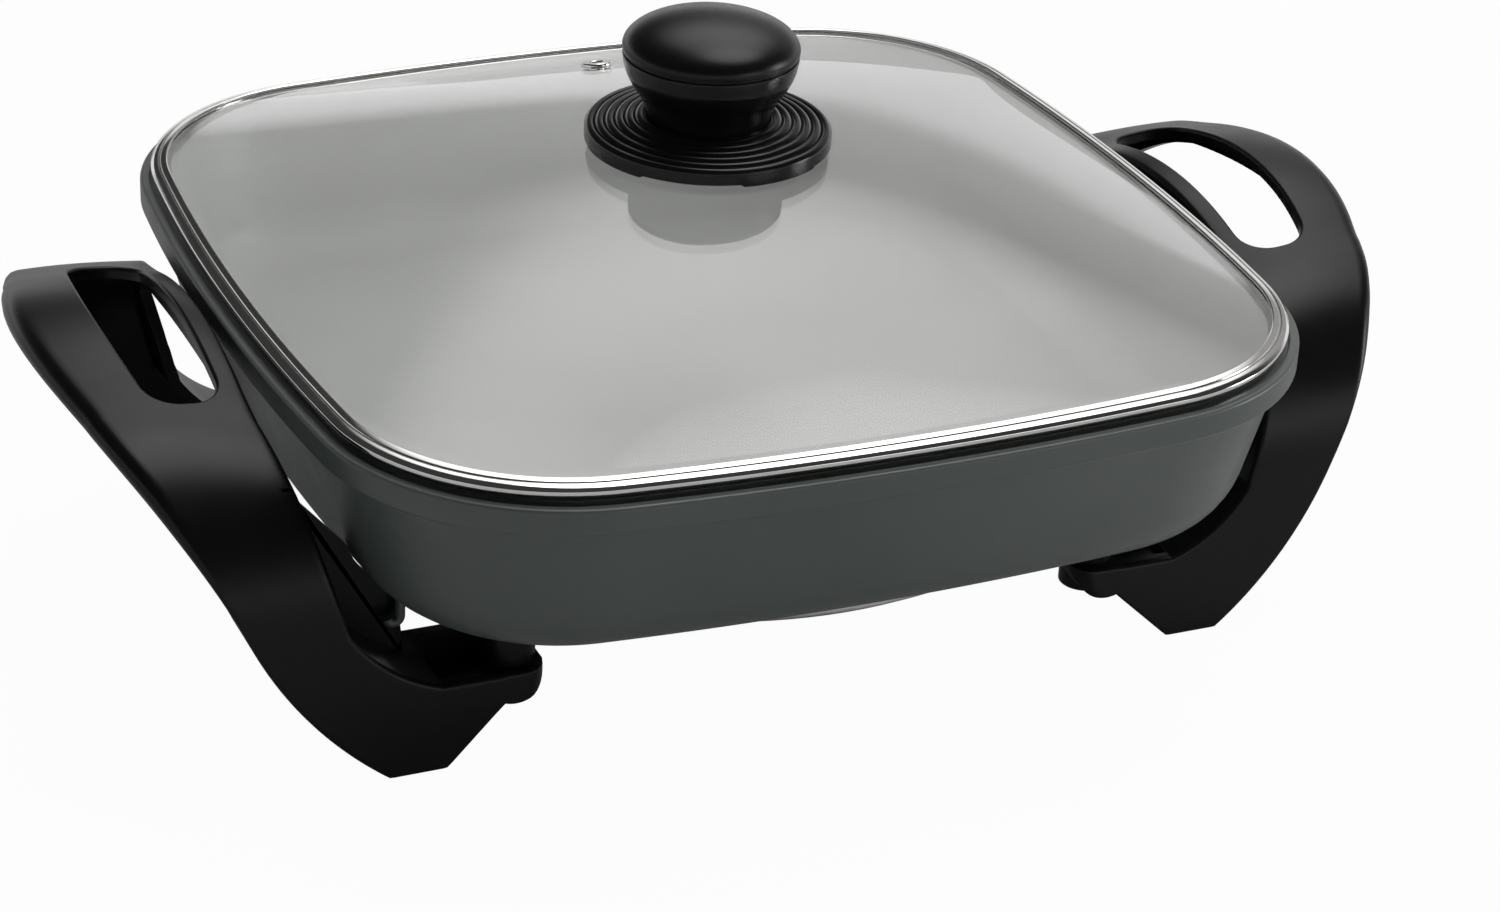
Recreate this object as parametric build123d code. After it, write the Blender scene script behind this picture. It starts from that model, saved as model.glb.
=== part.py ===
"""Electric skillet with a lift-off glass lid.

The frame sits on the table under the centre of the pan: +X runs towards the right handle, +Y to
the back and +Z up.  All sizes are millimetres.  Each sub-part is written as one STEP file.
"""
from build123d import *
from math import asin, cos, degrees, hypot, radians, sin, sqrt, tan
import os

# ---------------------------------------------------------------- driving dimensions
pan_width = 300.4                # rim of the pan, left to right
pan_depth = 304.8                # rim of the pan, front to back
side_bow_radius = 900.0          # the four sides of the rim are slightly bowed
rim_corner_radius = 70.0

# pan casting
pan_bottom_height = 46.7         # underside of the floor above the table
rim_height = 102.4               # top of the outer lip
collar_height = 8.0              # thick band round the rim
collar_overhang = 4.4            # step from the collar in to the wall
collar_edge_radius = 1.2
wall_taper = 14.0                # degrees from the vertical
wall_thickness = 3.2
floor_thickness = 5.0
bottom_corner_radius = 22.0
lip_width = 3.0                  # outer lip that keeps the lid in place
ledge_depth = 1.2                # the lid rests this far below the top of the lip

# cast on under the floor
lug_radius = 8.5
lug_length = 8.0
lug_inset = 13.9                 # front to back, from the outside of a leg's foot
stub_radius = 2.4
stub_length = 9.9
stub_setback = 29.2              # from the rim
stub_inset = 18.4

# heating element, set in a rib under the floor
element_radius = 4.0
element_clearance = 1.3          # between the ring and the handles' screw pillars
element_bend_radius = 14.0
element_rib_width = 16.0
element_drop = 5.7               # the tube's axis runs this far below the floor

# terminals and sensor socket, on the right
pin_spacing = 38.0
pin_radius = 2.4
pin_root_radius = 3.0            # inside its insulator
pin_length = 22.4
pin_setback = 1.2                # the pins end this far inside the rim
pin_nose_radius = 1.2
insulator_radius = 6.0
insulator_length = 14.0
insulator_chamfer = 1.0
sensor_bore_radius = 4.3
sensor_tube_wall = 1.2
sensor_tube_setback = 4.2
sensor_tube_length = 62.0
sensor_bore_depth = 56.0
sensor_boss_radius = 8.5
sensor_boss_end_wall = 4.0
guard_width = 66.0
guard_height = 20.0
guard_overlap = 3.0              # along X, with the rib round the element
guard_overhang = 0.8             # past the rim
guard_sheet = 1.2
guard_corner_radius = 4.0
guard_drop = 1.5                 # the guard hangs this far below the floor
guard_ear_length = 16.0
guard_ear_width = 14.4
guard_ear_setback = 10.0         # from the guard's inner end to its screws
guard_boss_radius = 5.5
guard_screw_radius = 1.9
guard_screw_engagement = 4.0
guard_screw_head_radius = 3.6
guard_screw_head_height = 2.2

# handles: one moulding each side, a carrying loop whose ends run down to the feet
handle_reach = 56.175            # out from the pan's rim; it makes the whole 412.75 wide
handle_top_height = 107.2
crest_radius = 132.0             # arch over the loop, seen from the side
crest_angle = 17.4
shoulder_run = 13.5
shoulder_radius = 57.5
leg_lean = 6.5                   # the legs splay this much, front to back
rim_gap = 3.3                    # between the pan's rim and the loop
inner_bend_height = 96.0
flare_angle = 45.0               # lean of the loop's outer flank at its top, from the table
knee_reach = 17.8                # where the flare turns into the foot, out from the rim
knee_height = 46.4
foot_setback = 20.1              # outer edge of the sole, in from the rim
foot_length = 16.6
heel_setback = 54.2              # the heel slants up to the tab
heel_height = 16.3
nose_setback = 64.2
nose_height = 18.4
tab_setback = 67.4               # end of the tab that reaches in under the pan
tab_top_height = 25.3
tab_root_setback = 36.2
tab_tray_depth = 2.3
tab_corner_radius = 8.0          # outer corner of its end, seen from above
instep_setback = 20.9            # middle of the curve from the tab up to the loop
instep_height = 33.0
instep_end_setback = 10.6
instep_end_height = 44.0
skin_thickness = 3.6
edge_wall = 3.5
box_depth = 22.0                 # a leg's foot, front to back
loop_edge_depth = 11.7           # edges of the loop, under its crown
loop_underside_radius = 286.0    # their lower edge arches more gently than the loop
shoulder_edge_depth = 7.0        # least depth of the edges, at the shoulders
outer_edge_fillet = 4.0
grip_strip_width = 6.8           # between the loop's inner edge and the finger hole
grip_hole_width = 24.7
grip_hole_bow = 5.0
grip_hole_half_length = 46.0
grip_hole_corner_radius = 9.5
pillar_radius = 7.5
pillar_setback = 8.2             # from the end of the tab
seat_gap = 0.3                   # free gap where a moulding faces the casting
back_rib_thickness = 3.0
back_rib_height = 6.4            # above the top of the tab
back_rib_length = 30.5
back_rib_slant = 2.0
leg_plate_drop = 6.4             # top of the leg's plate, below the collar
leg_plate_foot_setback = 26.2    # its lower corner, in from the rim and over the rib
leg_plate_foot_height = 37.0
leg_plate_waist_height = 45.0    # from here it slants up to the loop, clear of the wall

# handle screws
screw_radius = 2.2
screw_engagement = 7.0
screw_head_radius = 4.4
screw_head_height = 3.0
screw_slot_width = 1.2
screw_recess_depth = 8.0
washer_thickness = 1.0
washer_radius = 4.8
hole_clearance = 0.2
recess_clearance = 0.5

# lid
lid_inset = 3.3                  # the steel band stands this far inside the pan's rim
band_height = 7.0
band_sheet = 0.8
band_flange = 5.0
band_lower_flange = 4.0
band_edge_radius = 0.7
glass_thickness = 4.0
glass_clearance = 0.1
glass_edge_radius = 0.5
glass_margin = 6.0               # flat margin between the band's outside and the dome
dome_rise = 28.6
dome_round_ratio = 0.96          # how nearly round the dome's outline gets under the knob
dome_sections = 6
knob_seat_radius = 33.0          # flat top of the dome, under the knob
vent_setback = 64.4              # from the rim at the back
vent_hole_radius = 3.0
vent_bore_radius = 2.2
vent_flange_radius = 5.0
vent_flange_thickness = 0.7
vent_clearance = 0.15

# knob
knob_disc_radius = 36.2
knob_skirt_height = 5.3
knob_skirt_gap = 0.9             # the skirt stands this far over the glass
knob_disc_sheet = 2.4
ridge_count = 6
ridge_pitch = 2.9
ridge_height = 1.0
ridge_rise = 0.55
notch_count = 4
notch_angle = 48.0
notch_start_angle = -33.0
notch_depth = 0.9
knob_boss_radius = 11.0
knob_neck_radius = 18.5
knob_flare_radius = 20.6
knob_flare_height = 7.0
knob_grip_radius = 25.7
knob_stem_height = 19.7
knob_groove_width = 0.8
knob_groove_depth = 1.0
knob_cap_radius = 25.9
knob_cap_edge_height = 0.9
knob_cap_rise = 9.7
insert_radius = 4.2
insert_length = 14.0
knob_screw_radius = 2.4
knob_screw_length = 24.0
knob_screw_head_radius = 4.8
knob_screw_head_height = 2.8
knob_hole_radius = 4.0           # through the glass
knob_washer_radius = 9.0
gasket_radius = 10.0
gasket_thickness = 1.2

# ---------------------------------------------------------------- worked-out dimensions
rim_half_x = pan_width / 2
rim_half_y = pan_depth / 2
half_width = rim_half_x + handle_reach
shoulder_y = crest_radius * sin(radians(crest_angle)) + shoulder_run * cos(radians(crest_angle))
shoulder_height = (handle_top_height - crest_radius * (1 - cos(radians(crest_angle)))
                   - shoulder_run * sin(radians(crest_angle)))
ankle_y = shoulder_y + shoulder_radius * (cos(radians(leg_lean)) - sin(radians(crest_angle)))
ankle_height = shoulder_height - shoulder_radius * (cos(radians(crest_angle)) - sin(radians(leg_lean)))
foot_y = ankle_y + ankle_height * tan(radians(leg_lean))
handle_inner_x = rim_half_x + rim_gap
grip_hole_inner_x = handle_inner_x + grip_strip_width
tab_end_x = rim_half_x - tab_setback
tab_root_x = rim_half_x - tab_root_setback
lug_x = tab_end_x + pillar_setback
lug_y = foot_y - lug_inset
back_rib_y = foot_y - box_depth
ledge_height = rim_height - ledge_depth
collar_bottom = rim_height - collar_height
floor_top = pan_bottom_height + floor_thickness
lug_bottom = pan_bottom_height - lug_length
element_height = pan_bottom_height - element_drop
element_ring_radius = hypot(lug_x, lug_y) - pillar_radius - element_radius - element_clearance
element_rib_radius = element_ring_radius + element_rib_width / 2
bend_y = pin_spacing / 2 + element_bend_radius
ring_to_bend = element_ring_radius + element_bend_radius
bend_end_x = sqrt(ring_to_bend ** 2 - bend_y ** 2)
pin_end_x = rim_half_x - pin_setback
pin_start_x = pin_end_x - pin_length
sensor_tube_radius = sensor_bore_radius + sensor_tube_wall
sensor_tube_end_x = rim_half_x - sensor_tube_setback
sensor_tube_start_x = sensor_tube_end_x - sensor_tube_length
guard_top = pan_bottom_height - guard_drop
guard_bottom = guard_top - guard_height
guard_start_x = element_rib_radius - guard_overlap
guard_end_x = rim_half_x + guard_overhang
guard_ear_x = guard_start_x + guard_ear_setback
guard_ear_y = guard_width / 2 - guard_sheet + guard_ear_width / 2
screw_seat = heel_height + screw_recess_depth
band_top_height = ledge_height + band_height
glass_top = band_top_height - band_sheet - glass_clearance
glass_bottom = glass_top - glass_thickness
glass_inset = lid_inset + band_sheet + glass_clearance
dome_inset = lid_inset + glass_margin
dome_half_x = rim_half_x - dome_inset
dome_half_y = rim_half_y - dome_inset
vent_y = rim_half_y - vent_setback
knob_seat = glass_top + dome_rise * (1 - (2 * knob_seat_radius / (dome_half_x + dome_half_y)) ** 2)
knob_disc_bottom = knob_seat + knob_skirt_gap
stem_bottom = knob_disc_bottom + knob_skirt_height - ridge_height + ridge_count * ridge_rise
stem_top = stem_bottom + knob_stem_height
knob_underside = knob_seat - glass_thickness - gasket_thickness - washer_thickness


# ---------------------------------------------------------------- shared shapes
def pillow(half_x, half_y, side_radius, corner_radius):
    """Rounded rectangle with bowed sides: four side arcs joined by four tangent corner arcs."""
    side_x = half_x - side_radius
    side_y = half_y - side_radius
    # a corner arc's centre lies equally far from the centres of the two side arcs it joins
    span = hypot(side_x, side_y)
    rise = sqrt((side_radius - corner_radius) ** 2 - (span / 2) ** 2)
    corner = Vector(side_x / 2 - side_y / span * rise, side_y / 2 - side_x / span * rise)
    upper = Vector(0, side_y) + (corner - Vector(0, side_y)).normalized() * side_radius
    right = Vector(side_x, 0) + (corner - Vector(side_x, 0)).normalized() * side_radius
    middle = corner + Vector(1, 1).normalized() * corner_radius
    edges = []
    for s in (1, -1):
        edges += [
            ThreePointArc((-s * upper.X, s * upper.Y), (0, s * half_y), s * upper),
            ThreePointArc(s * upper, s * middle, s * right),
            ThreePointArc(s * right, (s * half_x, 0), (s * right.X, -s * right.Y)),
            ThreePointArc((s * right.X, -s * right.Y), (s * middle.X, -s * middle.Y),
                          (s * upper.X, -s * upper.Y)),
        ]
    return make_face(edges)


def rim_outline(inset, height):
    """The pan's rim outline, drawn `inset` further in, at a height."""
    face = pillow(rim_half_x - inset, rim_half_y - inset, side_bow_radius - inset, rim_corner_radius - inset)
    return Pos(0, 0, height) * face


def rim_slab(inset, bottom, top):
    """Upright slab of the rim outline."""
    return extrude(rim_outline(inset, bottom), amount=top - bottom)


def wall_solid(thickness, bottom, top):
    """Solid bounded by the pan's tapered wall, drawn `thickness` further in."""
    sections = []
    for height in (bottom, top):
        inset = collar_overhang + (collar_bottom - height) * tan(radians(wall_taper)) + thickness
        sections.append(rim_outline(inset, height))
    return loft(sections, ruled=True)


def four_corners(x, y):
    """The four places that mirror each other about the middle of the pan."""
    return [(side_x * x, side_y * y) for side_x in (-1, 1) for side_y in (-1, 1)]


def rod(radius, x, y, bottom, top):
    """Upright cylinder."""
    return Pos(x, y, bottom) * extrude(Circle(radius), amount=top - bottom)


def bar(radius, y, start_x, end_x):
    """Cylinder along X at the height of the heating element."""
    plane = Plane(origin=(start_x, y, element_height), z_dir=(1, 0, 0))
    return extrude(plane * Circle(radius), amount=end_x - start_x)


def screw(x, y, seat, tip, radius, head_radius, head_height):
    """Slotted round-head screw that points up from its seat."""
    head = rod(head_radius, x, y, seat - head_height, seat)
    head = fillet(head.faces().sort_by(Axis.Z)[0].edges(), head_height / 2)
    slot = Pos(x, y, seat - head_height) * Box(2 * head_radius, screw_slot_width, head_height)
    return rod(radius, x, y, seat, tip) + head - slot


# ---------------------------------------------------------------- pan and its heater
def heating_element():
    """One ring under the floor whose ends bend outwards and run side by side to the right."""
    open_angle = degrees(asin(bend_y / ring_to_bend))
    ring = CenterArc((0, 0), element_ring_radius, open_angle, 360 - 2 * open_angle)
    turn = 90 - open_angle
    back_bend = CenterArc((bend_end_x, bend_y), element_bend_radius, 270, -turn)
    front_bend = CenterArc((bend_end_x, -bend_y), element_bend_radius, 180 - open_angle, -turn)
    back_end = Line((pin_start_x, pin_spacing / 2), (bend_end_x, pin_spacing / 2))
    front_end = Line((bend_end_x, -pin_spacing / 2), (pin_start_x, -pin_spacing / 2))
    path = Pos(0, 0, element_height) * Wire([back_end, back_bend, ring, front_bend, front_end])
    section = Plane(origin=path @ 0, z_dir=path % 0) * Circle(element_radius)
    return sweep(section, path=path)


def pan_underside():
    """Everything cast on under the floor, rooted in its thickness."""
    ring = Circle(element_rib_radius) - Circle(element_rib_radius - element_rib_width)
    cast = Pos(0, 0, element_height) * extrude(ring, amount=floor_top - element_height)
    for x, y in four_corners(lug_x, lug_y):
        cast += rod(lug_radius, x, y, lug_bottom, floor_top)
    for x, y in four_corners(rim_half_x - stub_setback, foot_y - stub_inset):
        cast += rod(stub_radius, x, y, pan_bottom_height - stub_length, floor_top)
    for y in (-guard_ear_y, guard_ear_y):
        cast += rod(guard_boss_radius, guard_ear_x, y, guard_top, floor_top)
    boss_start = sensor_tube_start_x - sensor_boss_end_wall
    boss_end = guard_start_x - guard_sheet
    boss = bar(sensor_boss_radius, 0, boss_start, boss_end)
    web = Box(boss_end - boss_start, 2 * sensor_boss_radius, floor_top - element_height,
              align=(Align.MIN, Align.CENTER, Align.MIN))
    return cast + boss + Pos(boss_start, 0, element_height) * web


def pan():
    shell = wall_solid(0, pan_bottom_height, collar_bottom)
    shell = fillet(shell.faces().sort_by(Axis.Z)[0].edges(), bottom_corner_radius)
    collar = rim_slab(0, collar_bottom, rim_height)
    collar = fillet(collar.faces().sort_by(Axis.Z)[0].edges(), collar_edge_radius)
    collar = fillet(collar.faces().sort_by(Axis.Z)[-1].edges(), collar_edge_radius)
    cavity = wall_solid(wall_thickness / cos(radians(wall_taper)), floor_top, ledge_height)
    cavity = fillet(cavity.faces().sort_by(Axis.Z)[0].edges(), bottom_corner_radius - wall_thickness)
    body = shell + collar + pan_underside()
    body -= cavity
    body -= rim_slab(lip_width, ledge_height, rim_height)
    body -= heating_element()
    body -= bar(sensor_tube_radius, 0, sensor_tube_start_x, sensor_tube_end_x)
    for x, y in four_corners(lug_x, lug_y):
        body -= rod(screw_radius, x, y, lug_bottom, lug_bottom + screw_engagement)
    for y in (-guard_ear_y, guard_ear_y):
        body -= rod(guard_screw_radius, guard_ear_x, y, guard_top, guard_top + guard_screw_engagement)
    return body


def sensor_tube():
    """Closed socket for the thermostat's sensor, its mouth on the right."""
    tube = bar(sensor_tube_radius, 0, sensor_tube_start_x, sensor_tube_end_x)
    tube = fillet(tube.faces().sort_by(Axis.X)[-1].edges(), sensor_tube_wall / 2)
    return tube - bar(sensor_bore_radius, 0, sensor_tube_end_x - sensor_bore_depth, sensor_tube_end_x)


def terminal_insulators():
    """Ceramic bush on each cold end, holding its pin."""
    bushes = []
    for y in (-pin_spacing / 2, pin_spacing / 2):
        bush = bar(insulator_radius, y, bend_end_x, bend_end_x + insulator_length)
        bush = chamfer(bush.faces().sort_by(Axis.X)[-1].edges(), insulator_chamfer)
        bush -= bar(element_radius, y, bend_end_x, pin_start_x)
        bush -= bar(pin_root_radius, y, pin_start_x, pin_end_x)
        bushes.append(bush)
    return Compound(children=bushes)


def terminal_pins():
    """Round-nosed pins, thicker where they stand in their insulators."""
    pins = []
    for y in (-pin_spacing / 2, pin_spacing / 2):
        root_end_x = bend_end_x + insulator_length
        pin = bar(pin_radius, y, root_end_x, pin_end_x)
        pin = fillet(pin.faces().sort_by(Axis.X)[-1].edges(), pin_nose_radius)
        pins.append(pin + bar(pin_root_radius, y, pin_start_x, root_end_x))
    return Compound(children=pins)


def terminal_guard():
    """Bent sheet channel round the pins, hung by two ears from bosses under the pan."""
    height = guard_top - guard_bottom
    outer = Rectangle(guard_width, height)
    outer = fillet(outer.vertices().sort_by(Axis.Y)[:2], guard_corner_radius)
    inner = Rectangle(guard_width - 2 * guard_sheet, height)
    inner = fillet(inner.vertices().sort_by(Axis.Y)[:2], guard_corner_radius - guard_sheet)
    plane = Plane(origin=(guard_start_x, 0, guard_bottom + height / 2), x_dir=(0, 1, 0), z_dir=(1, 0, 0))
    guard = extrude(plane * (outer - Pos(0, guard_sheet) * inner), amount=guard_end_x - guard_start_x)
    for side in (-1, 1):
        ear = Box(guard_ear_length, guard_ear_width, guard_sheet)
        far_corners = ear.edges().filter_by(Axis.Z).group_by(Axis.Y)[-1 if side > 0 else 0]
        ear = fillet(far_corners, guard_corner_radius)
        guard += Pos(guard_ear_x, side * guard_ear_y, guard_top - guard_sheet / 2) * ear
    for y in (-guard_ear_y, guard_ear_y):
        guard -= rod(guard_screw_radius + hole_clearance, guard_ear_x, y, guard_top - guard_sheet, guard_top)
    return guard


def guard_screws():
    seat = guard_top - guard_sheet
    tip = guard_top + guard_screw_engagement
    return Compound(children=[
        screw(guard_ear_x, y, seat, tip, guard_screw_radius, guard_screw_head_radius, guard_screw_head_height)
        for y in (-guard_ear_y, guard_ear_y)])


# ---------------------------------------------------------------- handles
def arch(inset):
    """Solid under the arch that the loop and both legs follow, drawn `inset` further in.

    Seen along X it is a crest arc, a short straight shoulder, a shoulder arc and a splayed leg.
    """
    crest = JernArc((0, handle_top_height - inset), (1, 0), crest_radius - inset, -crest_angle)
    slope = Line(crest @ 1, crest @ 1 + (crest % 1) * shoulder_run)
    shoulder = JernArc(slope @ 1, slope % 1, shoulder_radius - inset, crest_angle + leg_lean - 90)
    foot = (foot_y - inset / cos(radians(leg_lean)), 0)
    leg = Polyline(shoulder @ 1, foot, (0, 0), crest @ 0)
    half = make_face([crest, slope, shoulder, leg])
    return through_x(half + mirror(half, Plane.YZ))


def side_outline():
    """The handle seen from the front: outer flare, foot, tab under the pan and pan-side edge.

    The flank starts straight, so that rounding its edge brings the tip back to the full width.
    """
    lean = Vector(cos(radians(flare_angle)), sin(radians(flare_angle)))
    rounding = outer_edge_fillet / tan(radians(flare_angle / 2))
    tip = Vector(half_width - outer_edge_fillet + rounding, handle_top_height)
    flank = Line(tip + lean, tip - lean * rounding)
    flare = TangentArc(flank @ 1, (rim_half_x + knee_reach, knee_height), tangent=flank % 1)
    calf = TangentArc(flare @ 1, (rim_half_x - foot_setback, 0), tangent=flare % 1)
    heel = (rim_half_x - heel_setback, heel_height)
    sole = Polyline(calf @ 1, (rim_half_x - foot_setback - foot_length, 0), heel)
    nose = ThreePointArc(heel, (rim_half_x - nose_setback, nose_height), (tab_end_x, tab_top_height))
    tab = Line(nose @ 1, (tab_root_x, tab_top_height))
    instep = ThreePointArc(tab @ 1, (rim_half_x - instep_setback, instep_height),
                           (rim_half_x - instep_end_setback, instep_end_height))
    edge = Polyline(instep @ 1, (handle_inner_x, inner_bend_height), (handle_inner_x, tip.Y + lean.Y),
                    tip + lean)
    return make_face([flank, flare, calf, sole, nose, tab, instep, edge])


def underside():
    """Opening between the legs, as far as their ribs and up to the lower edge of the loop."""
    half_length = back_rib_y - back_rib_thickness
    crown = handle_top_height - loop_edge_depth
    side_height = crown - loop_underside_radius + sqrt(loop_underside_radius ** 2 - half_length ** 2)
    edge = ThreePointArc((-half_length, side_height), (0, crown), (half_length, side_height))
    walls = Polyline(edge @ 1, (half_length, 0), (-half_length, 0), edge @ 0)
    return arch(shoulder_edge_depth) & through_x(make_face([edge, walls]))


def behind_tab():
    """Rectangle, seen from the front, that covers the handle outwards of its tab."""
    return Pos(tab_root_x, 0) * Rectangle(pan_width, pan_width, align=(Align.MIN, Align.CENTER))


def tab_tray():
    """Shallow tray in the top of the rear tab, between its skin and its back rib."""
    start_x = lug_x + pillar_radius
    tray = Box(tab_root_x - start_x, rim_half_y, tab_tray_depth, align=(Align.MIN, Align.MIN, Align.MAX))
    return arch(skin_thickness) & Pos(start_x, back_rib_y, tab_top_height) * tray


def tab_corner():
    """What the rounding of the rear tab's outer corner takes away."""
    side = tab_corner_radius
    side_y = foot_y - heel_height * tan(radians(leg_lean))
    block = Box(side, side, tab_top_height, align=(Align.MIN, Align.MAX, Align.MIN))
    return (Pos(tab_end_x, side_y, 0) * block
            - rod(side, tab_end_x + side, side_y - side, 0, tab_top_height))


def through_x(face):
    """Carry an outline drawn in Y and Z right through the handle, from its tab outwards."""
    return Pos(tab_end_x - pillar_radius, 0, 0) * extrude(Plane.YZ * face, amount=half_width)


def through_y(face):
    """Carry an outline drawn in X and Z right through the handle, front to back."""
    return extrude(Plane.XZ * face, amount=rim_half_y, both=True)


def on_outer_flank(edge):
    """True for a curved edge on the outward side of the handle."""
    place = edge.center()
    foot_middle = rim_half_x - foot_setback - foot_length / 2
    top_middle = (half_width + handle_inner_x) / 2
    divide = foot_middle + (top_middle - foot_middle) * place.Z / handle_top_height
    return edge.geom_type != GeomType.LINE and place.X > divide


def grip_hole():
    """D-shaped finger hole: straight beside the pan, bowed on the outer side."""
    outer_x = grip_hole_inner_x + grip_hole_width
    end_x = outer_x - grip_hole_bow
    front = -grip_hole_half_length
    back = grip_hole_half_length
    face = make_face([
        Line((grip_hole_inner_x, front), (grip_hole_inner_x, back)),
        Line((grip_hole_inner_x, back), (end_x, back)),
        ThreePointArc((end_x, back), (outer_x, 0), (end_x, front)),
        Line((end_x, front), (grip_hole_inner_x, front))])
    return fillet(face.vertices(), grip_hole_corner_radius)


def back_rib():
    """Stiffening wall along the back of a tab, on the rear leg."""
    start_x = lug_x
    end_x = start_x + back_rib_length
    rib_top = tab_top_height + back_rib_height
    outline = Polyline((start_x, heel_height), (end_x, heel_height), (end_x, tab_top_height),
                       (end_x - back_rib_slant, rib_top), (start_x, rib_top), close=True)
    return extrude(Pos(0, back_rib_y, 0) * (Plane.XZ * make_face(outline)), amount=back_rib_thickness)


def leg_plate():
    """Plate in line with the back rib that fills the gap between the rear leg and the pan's wall."""
    start_x = lug_x + back_rib_length - back_rib_slant
    rib_top = tab_top_height + back_rib_height
    plate_top = collar_bottom - leg_plate_drop
    foot = (rim_half_x - leg_plate_foot_setback, leg_plate_foot_height)
    zone = Polyline((start_x, tab_top_height), (start_x, rib_top), foot, (foot[0], leg_plate_waist_height),
                    (handle_inner_x, plate_top),
                    (rim_half_x - instep_end_setback + edge_wall, instep_end_height),
                    (rim_half_x - instep_setback + edge_wall, tab_top_height), close=True)
    face = make_face(zone) - offset(side_outline(), amount=-edge_wall / 2)
    plate = extrude(Pos(0, back_rib_y, 0) * (Plane.XZ * face), amount=back_rib_thickness)
    return plate - wall_solid(-seat_gap, pan_bottom_height, collar_bottom)


def right_handle():
    """Hollow moulding: a skin with edge walls, a finger hole, screw pillars and a leg plate."""
    outline = side_outline()
    block = arch(0) & through_y(outline)
    block = fillet(block.edges().filter_by(on_outer_flank), outer_edge_fillet)
    hollow = arch(skin_thickness) & through_y(offset(outline, amount=-edge_wall) & behind_tab())
    body = block - hollow - underside() + leg_plate()
    for side in (back_rib(), rod(pillar_radius, lug_x, lug_y, heel_height, lug_bottom)):
        body += side
        body += mirror(side, Plane.XZ)
    for cut in (tab_tray(), tab_corner()):
        body -= cut
        body -= mirror(cut, Plane.XZ)
    body -= extrude(grip_hole(), amount=handle_top_height)
    for y in (-lug_y, lug_y):
        body -= rod(screw_radius + hole_clearance, lug_x, y, 0, lug_bottom)
        body -= rod(washer_radius + recess_clearance, lug_x, y, 0, screw_seat)
    return body


def left_handle():
    """The same moulding turned half round, so its leg plate stands at the front."""
    return Rot(0, 0, 180) * right_handle()


def handle_screws():
    """Four screws that clamp the tabs to the lugs under the pan."""
    return Compound(children=[
        screw(x, y, screw_seat - washer_thickness, lug_bottom + screw_engagement,
              screw_radius, screw_head_radius, screw_head_height)
        for x, y in four_corners(lug_x, lug_y)])


def handle_washers():
    washers = []
    for x, y in four_corners(lug_x, lug_y):
        disc = rod(washer_radius, x, y, screw_seat - washer_thickness, screw_seat)
        washers.append(disc - rod(screw_radius, x, y, screw_seat - washer_thickness, screw_seat))
    return Compound(children=washers)


# ---------------------------------------------------------------- lid
def dome_share(turned):
    """How far out the dome's outline lies, as a share of its foot, `turned` of the way up to the knob."""
    seat_share = 2 * knob_seat_radius / (dome_half_x + dome_half_y)
    return 1 - (1 - seat_share) * turned


def dome(bottom):
    """Solid dome whose height falls off with the square of the distance from the middle.

    Its outline is the rim's at the foot and turns nearly round under the knob.
    """
    sections = []
    for i in range(dome_sections):
        turned = i / (dome_sections - 1)
        share = dome_share(turned)
        half_x = dome_half_x + (knob_seat_radius - dome_half_x) * turned
        half_y = dome_half_y + (knob_seat_radius - dome_half_y) * turned
        roundness = dome_round_ratio * turned
        side_radius = 1 / ((1 - roundness) / (side_bow_radius - dome_inset) + roundness / half_y)
        corner_radius = (rim_corner_radius - dome_inset) * share * (1 - roundness) + half_x * roundness
        outline = pillow(half_x, half_y, side_radius, corner_radius)
        sections.append(Pos(0, 0, bottom + dome_rise * (1 - share ** 2)) * outline)
    return loft(sections)


def vent_plane():
    """Where the vent's axis leaves the outside of the glass, square to the dome."""
    turned = (dome_half_y - vent_y) / (dome_half_y - knob_seat_radius)
    share = dome_share(turned)
    slope = 2 * dome_rise * share * (1 - dome_share(1)) / (dome_half_y - knob_seat_radius)
    height = glass_top + dome_rise * (1 - share ** 2)
    return Plane(origin=(0, vent_y, height), z_dir=(0, slope, 1))


def lid_glass():
    margin = rim_slab(glass_inset, glass_bottom, glass_top)
    margin = fillet(margin.faces().sort_by(Axis.Z)[-1].edges(), glass_edge_radius)
    glass = margin + dome(glass_top)
    glass -= dome(glass_bottom)
    glass -= rod(knob_hole_radius, 0, 0, glass_bottom, knob_seat)
    return glass - extrude(vent_plane() * Circle(vent_hole_radius), amount=2 * glass_thickness, both=True)


def lid_rim_band():
    """Rolled steel channel that holds the edge of the glass and sits on the pan's ledge."""
    band = rim_slab(lid_inset, ledge_height, band_top_height)
    band = fillet(band.faces().sort_by(Axis.Z)[-1].edges(), band_edge_radius)
    band -= rim_slab(lid_inset + band_flange, glass_top, band_top_height)
    band -= rim_slab(glass_inset - glass_clearance, glass_bottom - glass_clearance,
                     glass_top + glass_clearance)
    band -= rim_slab(lid_inset + band_sheet, ledge_height + band_sheet, glass_bottom)
    band -= rim_slab(lid_inset + band_lower_flange, ledge_height, glass_bottom)
    return band


def vent_grommet():
    """Steel eyelet rolled over both faces of the glass."""
    above = vent_clearance
    below = -glass_thickness * vent_plane().z_dir.Z - vent_clearance
    flange = vent_flange_thickness
    outline = Polyline(
        (vent_bore_radius, below - flange), (vent_flange_radius, below - flange), (vent_flange_radius, below),
        (vent_hole_radius - vent_clearance, below), (vent_hole_radius - vent_clearance, above),
        (vent_flange_radius, above), (vent_flange_radius, above + flange), (vent_bore_radius, above + flange),
        close=True)
    eyelet = revolve(Plane.XZ * make_face(outline), Axis.Z)
    return vent_plane().location * eyelet


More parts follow.
